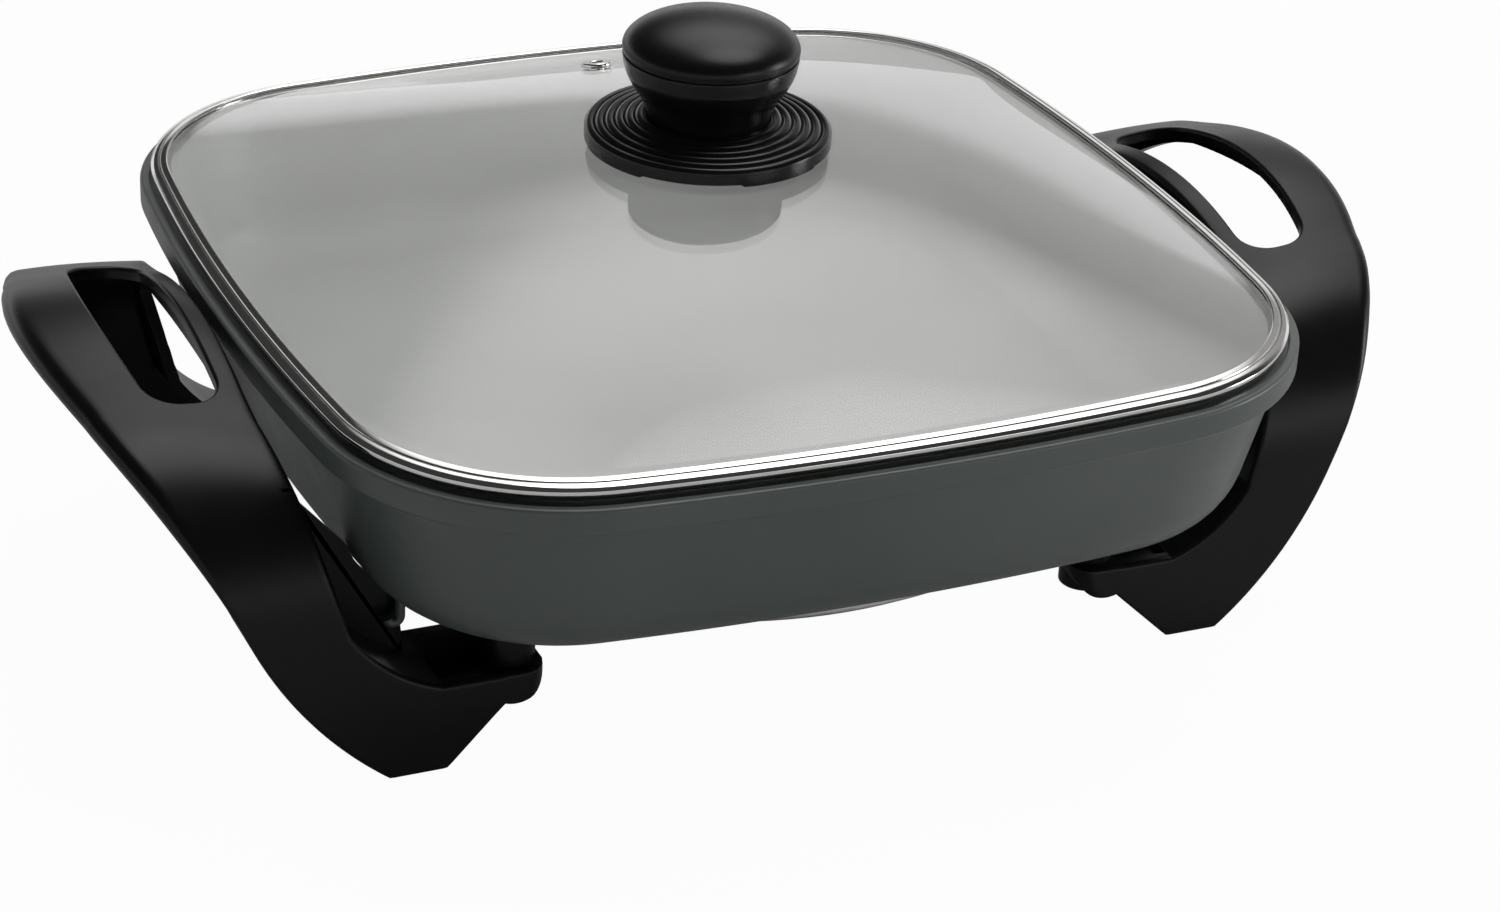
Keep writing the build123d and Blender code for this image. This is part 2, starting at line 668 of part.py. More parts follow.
# ---------------------------------------------------------------- knob
def knob_base():
    """Ridged disc under the grip, its skirt notched so that steam can leave."""
    outer_top = knob_disc_bottom + knob_skirt_height - ridge_height
    boss_bottom = knob_seat + gasket_thickness
    hole = knob_screw_radius + hole_clearance
    edges = [Line((knob_disc_radius, knob_disc_bottom), (knob_disc_radius, outer_top))]
    for i in range(ridge_count):
        start = Vector(knob_disc_radius - i * ridge_pitch, outer_top + i * ridge_rise)
        crown = start + Vector(-ridge_pitch / 2, ridge_rise / 2 + ridge_height)
        edges.append(ThreePointArc(start, crown, start + Vector(-ridge_pitch, ridge_rise)))
    inside = knob_disc_radius - knob_disc_sheet
    edges.append(Polyline(
        edges[-1] @ 1, (hole, stem_bottom), (hole, boss_bottom), (knob_boss_radius, boss_bottom),
        (knob_boss_radius, stem_bottom - knob_disc_sheet), (inside, outer_top - knob_disc_sheet),
        (inside, knob_disc_bottom), (knob_disc_radius, knob_disc_bottom)))
    disc = revolve(Plane.XZ * make_face(edges), Axis.Z)
    for i in range(notch_count):
        turn = notch_start_angle + i * 360 / notch_count
        notch = revolve(Plane.XZ * Pos(knob_disc_radius, knob_disc_bottom) * Rectangle(
            4 * knob_disc_sheet, 2 * notch_depth), Axis.Z, revolution_arc=notch_angle)
        disc -= Rot(0, 0, turn) * notch
    return disc


def knob_stem():
    """Grip of the knob: a neck that flares up to the groove under the cap."""
    neck = TangentArc((knob_neck_radius, stem_bottom), (knob_flare_radius, stem_bottom + knob_flare_height),
                      tangent=(0, 1))
    flare = TangentArc(neck @ 1, (knob_grip_radius, stem_top), tangent=neck % 1)
    edges = [neck, flare, Line(flare @ 1, (0, stem_top)), Line((0, stem_top), (0, stem_bottom)),
             Line((0, stem_bottom), neck @ 0)]
    stem = revolve(Plane.XZ * make_face(edges), Axis.Z)
    return stem - rod(insert_radius, 0, 0, stem_bottom, stem_bottom + insert_length)


def knob_cap():
    """Domed cap; its spigot leaves a groove over the stem."""
    rim_bottom = stem_top + knob_groove_width
    edge_height = rim_bottom + knob_cap_edge_height
    spigot = knob_grip_radius - knob_groove_depth
    crown = Spline((knob_cap_radius, edge_height), (0, edge_height + knob_cap_rise),
                   tangents=[(0, 1), (-1, 0)])
    under = ThreePointArc((knob_grip_radius - knob_groove_depth / 4, rim_bottom),
                          (knob_cap_radius - knob_groove_depth / 8, rim_bottom + knob_cap_edge_height / 2),
                          (knob_cap_radius, edge_height))
    profile = Polyline(crown @ 1, (0, stem_top), (spigot, stem_top), (spigot, rim_bottom), under @ 0)
    return revolve(Plane.XZ * make_face([crown, profile, under]), Axis.Z)


def knob_insert():
    """Brass sleeve moulded into the stem."""
    sleeve = rod(insert_radius, 0, 0, stem_bottom, stem_bottom + insert_length)
    return sleeve - rod(knob_screw_radius, 0, 0, stem_bottom, knob_underside + knob_screw_length)


def knob_ring(radius, bottom, thickness):
    """Flat ring round the knob's screw."""
    ring = rod(radius, 0, 0, bottom, bottom + thickness)
    return ring - rod(knob_screw_radius + hole_clearance, 0, 0, bottom, bottom + thickness)


def knob_screw():
    return screw(0, 0, knob_underside, knob_underside + knob_screw_length,
                 knob_screw_radius, knob_screw_head_radius, knob_screw_head_height)


# ---------------------------------------------------------------- export
def main():
    os.makedirs("parts", exist_ok=True)
    nodes = {
        "pan": pan(),
        "heating_element": heating_element(),
        "terminal_insulators": terminal_insulators(),
        "terminal_pins": terminal_pins(),
        "sensor_tube": sensor_tube(),
        "terminal_guard": terminal_guard(),
        "guard_screws": guard_screws(),
        "right_handle": right_handle(),
        "left_handle": left_handle(),
        "handle_screws": handle_screws(),
        "handle_washers": handle_washers(),
        "lid_glass": lid_glass(),
        "lid_rim_band": lid_rim_band(),
        "vent_grommet": vent_grommet(),
        "knob_base": knob_base(),
        "knob_stem": knob_stem(),
        "knob_cap": knob_cap(),
        "knob_insert": knob_insert(),
        "knob_screw": knob_screw(),
        "knob_washer": knob_ring(knob_washer_radius, knob_underside, washer_thickness),
        "inner_gasket": knob_ring(gasket_radius, knob_underside + washer_thickness, gasket_thickness),
        "outer_gasket": knob_ring(gasket_radius, knob_seat, gasket_thickness),
    }
    for name, shape in nodes.items():
        export_step(shape, f"parts/{name}.step")


if __name__ == "__main__":
    main()
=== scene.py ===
"""Looks of a square electric skillet: coated pan, domed glass lid, ridged knob and two moulded handles."""
import logging
import math
from dataclasses import dataclass, field
from enum import Enum
from typing import Sequence

import bmesh
import bpy
import numpy as np
from mathutils import Matrix, Vector


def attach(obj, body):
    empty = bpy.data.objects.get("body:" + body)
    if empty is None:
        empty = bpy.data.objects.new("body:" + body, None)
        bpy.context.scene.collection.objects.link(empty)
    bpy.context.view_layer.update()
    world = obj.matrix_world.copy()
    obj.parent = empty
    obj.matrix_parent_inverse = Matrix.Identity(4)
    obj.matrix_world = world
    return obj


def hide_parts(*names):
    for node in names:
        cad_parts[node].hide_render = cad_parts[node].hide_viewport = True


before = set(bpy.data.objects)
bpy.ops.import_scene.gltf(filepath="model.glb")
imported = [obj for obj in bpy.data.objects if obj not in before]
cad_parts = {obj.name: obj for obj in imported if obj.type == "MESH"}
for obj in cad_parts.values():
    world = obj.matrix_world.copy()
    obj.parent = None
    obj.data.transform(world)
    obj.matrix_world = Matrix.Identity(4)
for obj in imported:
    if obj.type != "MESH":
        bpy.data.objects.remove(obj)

Array = np.ndarray
Object = bpy.types.Object
Material = bpy.types.Material
Socket = bpy.types.NodeSocket
Pair = tuple[float, float]
Triple = tuple[float, float, float]
Quad = tuple[float, float, float, float]
MM = 0.001  # metres in a millimetre
QUADRANTS = ((1, 1), (1, -1), (-1, 1), (-1, -1))  # signs of x and y, the right side first
log = logging.getLogger("skillet")


class Body(Enum):
    """Rigid bodies of the frame."""

    SKILLET = "skillet"
    LID = "lid"


# ------------ node helpers
class Nodes:
    """Node tree of a material or a world, with short calls to add and join nodes."""

    def __init__(self, name: str, world: bool = False) -> None:
        """Start an empty tree.

        Args:
            name: the name of the material or world.
            world: makes a world instead of a material.
        """
        self.material = (bpy.data.worlds if world else bpy.data.materials).new(name)
        self.material.use_nodes = True
        self.tree = self.material.node_tree
        self.tree.nodes.clear()
        self.output = self.tree.nodes.new("ShaderNodeOutput" + ("World" if world else "Material"))

    def add(self, kind: str, **values: object) -> bpy.types.Node:
        """Add a node and set attributes or input sockets by name.

        Args:
            kind: node type without its ShaderNode prefix.
            values: attributes of the node, or socket names with underscores for spaces.

        Returns:
            The new node.
        """
        node = self.tree.nodes.new("ShaderNode" + kind)
        for key, value in values.items():
            if hasattr(node, key):
                setattr(node, key, value)
            else:
                node.inputs[key.replace("_", " ")].default_value = value
        return node

    def join(self, source: Socket, target: Socket) -> None:
        """Link two sockets."""
        self.tree.links.new(source, target)

    def noise(self, scale: float, detail: float, stretch: Triple = (1, 1, 1)) -> Socket:
        """Noise on Object coordinates.

        Args:
            scale: cells per metre.
            detail: octaves.
            stretch: scale of each axis before the noise.

        Returns:
            The noise value's socket.
        """
        place = self.add("TexCoord")
        turn = self.add("Mapping", Scale=stretch)
        noise = self.add("TexNoise", Scale=scale, Detail=detail)
        self.join(place.outputs["Object"], turn.inputs["Vector"])
        self.join(turn.outputs["Vector"], noise.inputs["Vector"])
        return noise.outputs["Fac"]

    def remap(self, value: Socket, low: float, high: float, frm: float = 0.3, to: float = 0.7) -> Socket:
        """Carry a value from one range to another.

        Args:
            value: source socket.
            low: result at `frm`.
            high: result at `to`.
            frm: start of the source range.
            to: end of the source range.

        Returns:
            The result's socket.
        """
        node = self.add("MapRange")
        for name, number in (("From Min", frm), ("From Max", to), ("To Min", low), ("To Max", high)):
            node.inputs[name].default_value = number
        self.join(value, node.inputs["Value"])
        return node.outputs["Result"]

    def blend(self, factor: Socket, dark: Triple, light: Triple) -> Socket:
        """Mix two colours by a factor.

        Args:
            factor: 0 gives `dark`, 1 gives `light`.
            dark: first colour.
            light: second colour.

        Returns:
            The colour's socket.
        """
        node = self.add("Mix", data_type="RGBA")
        node.inputs[6].default_value = (*dark, 1)
        node.inputs[7].default_value = (*light, 1)
        self.join(factor, node.inputs[0])
        return node.outputs[2]

    def math(self, operation: str, first: Socket, second: Socket | float) -> Socket:
        """Combine two values.

        Args:
            operation: name of the Math node's operation.
            first: socket of the first value.
            second: socket or number of the second value.

        Returns:
            The result's socket.
        """
        node = self.add("Math", operation=operation)
        self.join(first, node.inputs[0])
        if isinstance(second, float):
            node.inputs[1].default_value = second
        else:
            self.join(second, node.inputs[1])
        return node.outputs[0]

    def seen(self, mirrored: Socket | float) -> Socket:
        """1 for camera rays and for rays that come through glass, 0 for light that is scattered.

        Args:
            mirrored: the share that mirrored rays get.

        Returns:
            The share's socket.
        """
        path = self.add("LightPath")
        direct = self.math("MAXIMUM", path.outputs["Is Camera Ray"], path.outputs["Is Transmission Ray"])
        return self.math("MAXIMUM", direct, self.math("MULTIPLY", path.outputs["Is Glossy Ray"], mirrored))

    def bump(self, height: Socket, distance: float) -> Socket:
        """Bump from a height socket.

        Args:
            height: socket, 0 to 1.
            distance: full height in metres.

        Returns:
            The normal's socket.
        """
        node = self.add("Bump", Distance=distance, Strength=1.0)
        self.join(height, node.inputs["Height"])
        return node.outputs["Normal"]

    def show(self, shader: bpy.types.Node) -> None:
        """Join a shader to the output."""
        self.join(shader.outputs[0], self.output.inputs["Surface"])

    def mixed(self, factor: Socket, first: bpy.types.Node, second: bpy.types.Node) -> None:
        """Mix two shaders by a factor and join them to the output.

        Args:
            factor: 0 shows the first shader, 1 the second.
            first: first shader.
            second: second shader.
        """
        mix = self.add("MixShader")
        for source, target in zip((factor, first.outputs[0], second.outputs[0]), mix.inputs):
            self.join(source, target)
        self.show(mix)


# ------------ finishes
@dataclass(frozen=True)
class Finish:
    """Solid finish: one noise varies its colour, one its roughness and one its height.

    A noise is given by its cells per metre and its octaves.
    """

    name: str
    dark: Triple
    light: Triple
    roughness: Pair
    tone: Pair
    patches: Pair
    grain: Pair
    grain_height: float
    stretch: Triple = (1, 1, 1)
    metallic: float = 0.0
    gloss: float = 0.5

    def material(self) -> Material:
        """Build the material."""
        n = Nodes(self.name)
        shader = n.add("BsdfPrincipled", Metallic=self.metallic)
        tone = n.remap(n.noise(*self.tone), 0, 1)
        n.join(n.blend(tone, self.dark, self.light), shader.inputs["Base Color"])
        n.join(n.remap(n.noise(*self.patches, self.stretch), *self.roughness), shader.inputs["Roughness"])
        n.join(n.bump(n.noise(*self.grain, self.stretch), self.grain_height), shader.inputs["Normal"])
        shader.inputs["Specular IOR Level"].default_value = self.gloss
        n.show(shader)
        return n.material


@dataclass(frozen=True)
class CoatedCasting(Finish):
    """Satin sprayed coating on cast metal: fine orange peel and soft changes of tone."""

    name: str = "pan_coating"
    dark: Triple = (0.06, 0.075, 0.067)
    light: Triple = (0.085, 0.101, 0.093)
    roughness: Pair = (0.36, 0.46)
    tone: Pair = (9, 2)
    patches: Pair = (60, 4)
    grain: Pair = (1400, 2)
    grain_height: float = 0.00003
    gloss: float = 0.55


@dataclass(frozen=True)
class MouldedPlastic(Finish):
    """Black moulded plastic with a fine satin texture and faint flow marks."""

    name: str = "handle_plastic"
    dark: Triple = (0.004, 0.0036, 0.0036)
    light: Triple = (0.006, 0.0055, 0.0055)
    roughness: Pair = (0.27, 0.34)
    tone: Pair = (14, 3)
    patches: Pair = (35, 5)
    grain: Pair = (2600, 2)
    grain_height: float = 0.000012
    gloss: float = 0.2


@dataclass(frozen=True)
class Metal(Finish):
    """Bare or plated metal, with a grain that may be stretched along one axis."""

    dark: Triple = (0.60, 0.60, 0.59)
    light: Triple = (0.72, 0.72, 0.71)
    roughness: Pair = (0.07, 0.13)
    tone: Pair = (40, 3)
    patches: Pair = (300, 3)
    grain: Pair = (300, 3)
    grain_height: float = 0.000002
    metallic: float = 1.0


@dataclass(frozen=True)
class Matt(Finish):
    """Rough non-metal such as fired ceramic or moulded silicone."""

    roughness: Pair = (0.55, 0.7)
    tone: Pair = (600, 3)
    patches: Pair = (225, 3)
    grain: Pair = (1800, 2)
    grain_height: float = 0.00003


@dataclass(frozen=True)
class ClearGlass:
    """Tempered glass that lets lamps light what it covers."""

    name: str = "lid_glass"
    tint: Triple = (0.95, 0.962, 0.955)
    roughness: Pair = (0.0, 0.025)
    waves: Pair = (22, 4)
    index: float = 1.5

    def material(self) -> Material:
        """Build the material."""
        n = Nodes(self.name)
        shader = n.add("BsdfPrincipled", Base_Color=(*self.tint, 1), IOR=self.index)
        shader.inputs["Transmission Weight"].default_value = 1.0
        n.join(n.remap(n.noise(*self.waves), *self.roughness), shader.inputs["Roughness"])
        clear = n.add("BsdfTransparent", Color=(*self.tint, 1))
        n.mixed(n.add("LightPath").outputs["Is Shadow Ray"], shader, clear)
        return n.material


# ------------ mesh helpers
def grid_faces(rows: int, cols: int, wrap_cols: bool, start: int = 0) -> Array:
    """Quads of a grid of vertices numbered row by row.

    Args:
        rows: number of rows.
        cols: vertices in a row.
        wrap_cols: join the last column to the first.
        start: index of the first vertex.

    Returns:
        Array of quads, four indices each.
    """
    r = np.arange(rows - 1)[:, None]
    c = np.arange(cols if wrap_cols else cols - 1)[None, :]
    d = (c + 1) % cols
    quads = np.stack([r * cols + c, r * cols + d, (r + 1) * cols + d, (r + 1) * cols + c], -1)
    return quads.reshape(-1, 4) + start


@dataclass
class Shell:
    """Collects surfaces in millimetres and turns them into one mesh object."""

    name: str
    points: list[Array] = field(default_factory=list)
    faces: list[list[int]] = field(default_factory=list)
    count: int = 0

    def grid(self, points: Array, capped: bool = False) -> "Shell":
        """Add a grid surface whose last column joins its first.

        Args:
            points: rows, columns and x, y, z.
            capped: close the first and the last row with one face each.

        Returns:
            The shell itself.
        """
        rows, cols = points.shape[:2]
        self.faces += grid_faces(rows, cols, True, self.count).tolist()
        if capped:
            first = list(range(self.count, self.count + cols))
            self.faces += [first, [i + (rows - 1) * cols for i in first]]
        self.points.append(points.reshape(-1, 3))
        self.count += rows * cols
        return self

    def build(self, body: Body, slot: str, material: Material, replaces: Sequence[str] = (),
              smooth_angle: float = 40.0) -> Object:
        """Make the object, dress it and hand it to the frame.

        Args:
            body: the body it rides on.
            slot: the record's material slot, which is not used.
            material: its finish.
            replaces: CAD nodes it stands for.
            smooth_angle: edges sharper than this, in degrees, stay crisp.

        Returns:
            The finished object.
        """
        piece = self.solid()
        smooth(piece.data, smooth_angle)
        piece.data.materials.append(material)
        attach(piece, body.value)
        if replaces:
            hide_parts(*replaces)
        return piece

    def solid(self) -> Object:
        """Closed object with its seams and poles joined and its faces outward."""
        mesh = bpy.data.meshes.new(self.name)
        mesh.from_pydata((np.concatenate(self.points) * MM).tolist(), [], self.faces)
        work = bmesh.new()
        work.from_mesh(mesh)
        bmesh.ops.remove_doubles(work, verts=work.verts, dist=1e-7)
        bmesh.ops.recalc_face_normals(work, faces=work.faces)
        work.to_mesh(mesh)
        work.free()
        return linked(self.name, mesh)


def linked(name: str, data: bpy.types.ID) -> Object:
    """Object with the given data, linked to the scene.

    Args:
        name: name of the object.
        data: its mesh, lamp or camera.

    Returns:
        The object.
    """
    made = bpy.data.objects.new(name, data)
    bpy.context.scene.collection.objects.link(made)
    return made


def smooth(mesh: bpy.types.Mesh, angle: float) -> None:
    """Shade smooth, with edges sharper than an angle in degrees kept crisp."""
    mesh.shade_smooth()
    mesh.set_sharp_from_angle(angle=math.radians(angle))


def of_faces(piece: Object, name: str) -> Array:
    """The centre or the normal of every face, by its attribute's name.

    Args:
        piece: the object.
        name: "center" or "normal".

    Returns:
        Faces by x, y, z.
    """
    data = np.zeros(len(piece.data.polygons) * 3)
    piece.data.polygons.foreach_get(name, data)
    return data.reshape(-1, 3)


def paint(piece: Object, faces: Array, material: Material) -> Object:
    """Give the faces that a mask picks a second material.

    Args:
        piece: the object.
        faces: mask of its faces.
        material: the second material.

    Returns:
        The same object.
    """
    piece.data.materials.append(material)
    piece.data.polygons.foreach_set("material_index", faces.astype(np.int32))
    return piece


def lathe(profile: Array, count: int = 96, centre: Triple = (0, 0, 0)) -> Array:
    """Turn a profile round a vertical axis: x = r cos t, y = r sin t.

    Args:
        profile: radius and height of each point.
        count: steps round the axis.
        centre: where the axis stands.

    Returns:
        Grid of points, profile by angle.
    """
    turn = np.arange(count) * 2 * np.pi / count
    r = profile[:, :1]
    z = np.broadcast_to(profile[:, 1:], (len(profile), count))
    return np.stack([r * np.cos(turn), r * np.sin(turn), z], -1) + np.asarray(centre, float)


def rounded(corners: Sequence[Triple], steps: int = 6) -> Array:
    """Profile through corners, each rounded by an arc that touches both its sides.

    Args:
        corners: x, y and rounding radius of each corner; radius 0 keeps it sharp.
        steps: points on each rounding.

    Returns:
        Points of the profile, open at both ends.
    """
    raw = np.array(corners, float)
    out: list[Array] = []
    for i, (x, y, r) in enumerate(raw):
        here = np.array([x, y])
        if r == 0 or i in (0, len(raw) - 1):
            out.append(here[None])
            continue
        u = raw[i - 1, :2] - here
        v = raw[i + 1, :2] - here
        u /= np.linalg.norm(u)
        v /= np.linalg.norm(v)
        half = math.acos(np.clip(u @ v, -1, 1)) / 2
        middle = here + (u + v) / np.linalg.norm(u + v) * r / math.sin(half)
        a = here + u * r / math.tan(half) - middle
        b = here + v * r / math.tan(half) - middle
        sweep = math.pi - 2 * half
        t = np.linspace(0, 1, steps)[:, None]
        out.append(middle + (np.sin((1 - t) * sweep) * a + np.sin(t * sweep) * b) / math.sin(sweep))
    return np.concatenate(out)


def path_length(points: Array) -> Array:
    """Length of a path up to each of its points."""
    return np.concatenate([[0], np.cumsum(np.linalg.norm(np.diff(points, axis=0), axis=1))])


def read_path(points: Array, lengths: Array) -> Array:
    """Points of a path at given lengths from its start."""
    run = path_length(points)
    return np.stack([np.interp(lengths, run, points[:, k]) for k in (0, 1)], -1)


def ease(value: Array) -> Array:
    """Smooth step from 0 to 1: with t the value held between 0 and 1, t squared times (3 - 2 t)."""
    t = np.clip(value, 0, 1)
    return t * t * (3 - 2 * t)


def cut(piece: Object, prism: Array) -> None:
    """Subtract a prism from a closed mesh and keep the result as a plain mesh.

    Args:
        piece: the mesh that is cut.
        prism: outlines from the prism's foot to its top, as a grid.
    """
    cutter = Shell("cutter").grid(prism, capped=True).solid()
    tool = piece.modifiers.new("cut", "BOOLEAN")
    tool.operation = "DIFFERENCE"
    tool.solver = "EXACT"
    tool.object = cutter
    bpy.context.view_layer.update()
    done = bpy.data.meshes.new_from_object(piece.evaluated_get(bpy.context.evaluated_depsgraph_get()))
    piece.modifiers.remove(tool)
    smooth(done, 35)
    piece.data = done
    bpy.data.objects.remove(cutter)


# ------------ the rim's outline
@dataclass(frozen=True)
class RimOutline:
    """Rounded rectangle with bowed sides, drawn by the angle of its normal so that offsets stay parallel."""

    half_x: float = 150.2
    half_y: float = 152.4
    side_radius: float = 900.0
    corner_radius: float = 70.0
    parallel: float = 0.6  # share of the corner radius up to which an inset is parallel
    side_steps: int = 16
    corner_steps: int = 22

    def loops(self, half_x: Array, half_y: Array, side: Array, corner: Array) -> Array:
        """Outlines with their own sizes, all with the same steps.

        In one quarter the normal's angle f runs over the right arc, the corner arc and the top arc. A
        point is the arc's centre plus its radius times (cos f, sin f); the other quarters mirror it.

        Args:
            half_x: half widths.
            half_y: half depths.
            side: radii of the side arcs.
            corner: radii of the corner arcs.

        Returns:
            Outlines by points by x, y.
        """
        half_x, half_y, side, corner = (v[:, None] for v in (half_x, half_y, side, corner))
        sx, sy = half_x - side, half_y - side
        span = np.hypot(sx, sy)
        rise = np.sqrt((side - corner) ** 2 - (span / 2) ** 2)
        cx, cy = sx / 2 - sy / span * rise, sy / 2 - sx / span * rise
        low, high = np.arctan2(cy, cx - sx), np.arctan2(cy - sy, cx)
        c = np.linspace(0, 1, self.side_steps + 1)[None]
        b = np.linspace(0, 1, self.corner_steps + 1)[None, :-1]
        a = c[:, :-1]
        angle = np.concatenate([a * low, low + b * (high - low), high + c * (np.pi / 2 - high)], 1)
        part = np.concatenate([a * 0, b * 0 + 1, c * 0 + 2], 1)
        radius = np.where(part == 1, corner, side)
        x = np.where(part == 0, sx, np.where(part == 1, cx, 0)) + radius * np.cos(angle)
        y = np.where(part == 0, 0, np.where(part == 1, cy, sy)) + radius * np.sin(angle)
        quarter = np.stack([x, y], -1)
        first, back = quarter[:, :-1], quarter[:, :0:-1]
        return np.concatenate([first, back * (-1, 1), first * (-1, -1), back * (1, -1)], 1)

    def swept(self, profile: Array) -> Array:
        """Carry a profile of inset and height round the outline.

        An inset past the parallel share of the corner radius is the outline there, made smaller.

        Args:
            profile: inset and height of each point.

        Returns:
            Grid of points, profile by outline.
        """
        limit = self.corner_radius * self.parallel
        inset = np.minimum(profile[:, 0], limit)
        share = np.where(profile[:, 0] > limit, (self.half_y - profile[:, 0]) / (self.half_y - limit), 1.0)
        sizes = (self.half_x, self.half_y, self.side_radius, self.corner_radius)
        flat = self.loops(*(v - inset for v in sizes)) * share[:, None, None]
        height = np.broadcast_to(profile[:, 1:, None], (*flat.shape[:2], 1))
        return np.concatenate([flat, height], -1)


RIM = RimOutline()


# ------------ pan
@dataclass
class Pan:
    """Cast pan with a thick collar, a ledge for the lid and castings under its floor.

    A lug, boss or hook is given by x, y, radius and lower end.
    """

    floor_top: float = 51.7
    underside: float = 46.7
    rim_height: float = 102.4
    ledge: float = 101.2
    collar_bottom: float = 94.4
    collar_overhang: float = 4.4
    taper: float = 14.0
    wall: float = 3.2
    corner: float = 22.0
    lip: float = 3.0
    floor_rings: Pair = (0.75, 0.5)  # insets of extra rings, as shares of the half depth
    underside_rings: Pair = (0.4, 0.75)
    root: float = 1.5  # how far the castings reach into the floor
    rib_radius: float = 119.0
    rib_width: float = 16.0
    rib_bottom: float = 41.0
    lug: Quad = (91.0, 84.0, 8.5, 38.7)
    boss: Quad = (126.0, 39.0, 5.5, 45.2)
    hook: Quad = (121.3, 79.5, 1.4, 37.3)
    hook_curl: float = 2.0
    hook_turn: float = 170.0
    sensor_boss: Quad = (8.5, 5.6, 34.8, 3.0)  # radius, bore, length, end wall
    sensor_axis: Pair = (80.0, 41.0)  # x of its start and height

    def lean(self, height: float) -> float:
        """Inset that the tapered wall gains below the collar."""
        return (self.collar_bottom - height) * math.tan(math.radians(self.taper))

    def flank(self, y: float, gap: float) -> Array:
        """Outline of the outer wall and its bottom corner, cut square at a distance y.

        Args:
            y: distance from the pan's middle.
            gap: how far outside the wall.

        Returns:
            Points x, z from under the collar to the flat underside.
        """
        o, start, end = self.collar_overhang, self.collar_bottom - 2, 40.0
        profile = rounded([(o, start, 0), (o + self.lean(self.underside), self.underside, self.corner),
                           (end, self.underside, 0)], 16) - (gap, 0)
        rows = RIM.swept(profile)[:, :RIM.side_steps + RIM.corner_steps]
        return np.array([(np.interp(y, row[:, 1], row[:, 0]), row[0, 2] - gap / 2) for row in rows])

    def body(self, finish: Material, cooking_face: Material) -> Object:
        """Closed shell of the pan: one profile from the cooking face over the rim to the underside.

        Args:
            finish: coating of the outside.
            cooking_face: coating of the inside.

        Returns:
            The finished object.
        """
        w = self.wall / math.cos(math.radians(self.taper))
        o, half = self.collar_overhang, RIM.half_y
        inner_foot = o + self.lean(self.floor_top) + w
        outer_foot = o + self.lean(self.underside)
        profile = rounded([
            (half, self.floor_top, 0), *[(half * s, self.floor_top, 0) for s in self.floor_rings],
            (inner_foot, self.floor_top, self.corner - self.wall),
            (o + self.lean(self.ledge) + w, self.ledge, 0.6), (self.lip, self.ledge, 0.25),
            (self.lip, self.rim_height, 0.5), (0, self.rim_height, 1.1),
            (0, self.collar_bottom, 1.4), (o, self.collar_bottom - 0.3, 1.6),
            (outer_foot, self.underside, self.corner),
            *[(half * s, self.underside, 0) for s in self.underside_rings], (half, self.underside, 0)], 12)
        shell = Shell("pan_body").grid(RIM.swept(profile))
        piece = shell.build(Body.SKILLET, "pan_coating", finish, ["pan"], 50)
        centre, normal = of_faces(piece, "center"), of_faces(piece, "normal")
        level = (centre[:, 2] > (self.floor_top - 0.5) * MM) & (centre[:, 2] < (self.ledge - 0.2) * MM)
        inward = (centre[:, :2] * normal[:, :2]).sum(-1) < 0
        return paint(piece, level & (inward | (normal[:, 2] > 0.9)), cooking_face)

    def hook_tube(self) -> Array:
        """Locating hook: a round bar that hangs from the floor and curls outward by nearly a half turn.

        A ring's point is the centre line's point plus r (cos t normal + sin t y).

        Returns:
            Grid of points, ring by ring.
        """
        x, y, radius, bottom = self.hook
        curl, low = self.hook_curl, bottom + radius + self.hook_curl
        turn = np.linspace(0, np.radians(self.hook_turn), 15)
        bend = np.stack([x + curl * (1 - np.cos(turn)), low - curl * np.sin(turn)], -1)
        line = np.concatenate([[(x, self.underside + self.root)], bend])
        heading = np.gradient(line, axis=0)
        heading /= np.linalg.norm(heading, axis=-1)[:, None]
        t = np.linspace(0, 2 * np.pi, 17)[:-1]
        rings = line[:, None] + heading[:, None, ::-1] * (1, -1) * np.cos(t)[:, None] * radius
        side = np.broadcast_to(y + radius * np.sin(t), rings.shape[:2])
        return np.stack([rings[..., 0], side, rings[..., 1]], -1)

    def castings(self, finish: Material, bare: Material) -> Object:
        """Rib round the heater, screw lugs, guard bosses, locating hooks and the sensor's boss.

        Args:
            finish: coating of the castings.
            bare: bare metal of the machined rib.

        Returns:
            The finished object.
        """
        shell = Shell("pan_castings")
        root, low = self.underside + self.root, self.rib_bottom
        out, inn = self.rib_radius, self.rib_radius - self.rib_width
        rib = rounded([(inn, root, 0), (inn, low, 1.2), (out, low, 1.2), (out, root, 0), (inn, root, 0)])
        shell.grid(lathe(rib, 160))
        for (x, y, radius, bottom), corners in ((self.lug, QUADRANTS), (self.boss, QUADRANTS[:2])):
            pin = rounded([(0, bottom, 0), (radius, bottom, min(1.0, radius / 3)), (radius, root + 2, 0),
                           (0, root + 2, 0)])
            for sx, sy in corners:
                shell.grid(lathe(pin, 36, (sx * x, sy * y, 0)))
        for sx, sy in QUADRANTS:
            shell.grid(self.hook_tube() * (sx, sy, 1), capped=True)
        radius, bore, end, wall = self.sensor_boss
        bar = rounded([(0, 0, 0), (radius, 0, 1.5), (radius, end, 0.8), (bore, end, 0), (bore, wall, 0),
                       (0, wall, 0)])
        turned = lathe(bar, 40)
        x, z = self.sensor_axis
        shell.grid(np.stack([turned[..., 2] + x, turned[..., 1], turned[..., 0] + z], -1))
        piece = shell.build(Body.SKILLET, "pan_coating", finish)
        centre = of_faces(piece, "center") / MM
        reach, slack = np.hypot(centre[:, 0], centre[:, 1]), 0.1
        on_rib = (reach > inn - slack) & (reach < out + slack) & (centre[:, 2] > low - slack)
        return paint(piece, on_rib, bare)


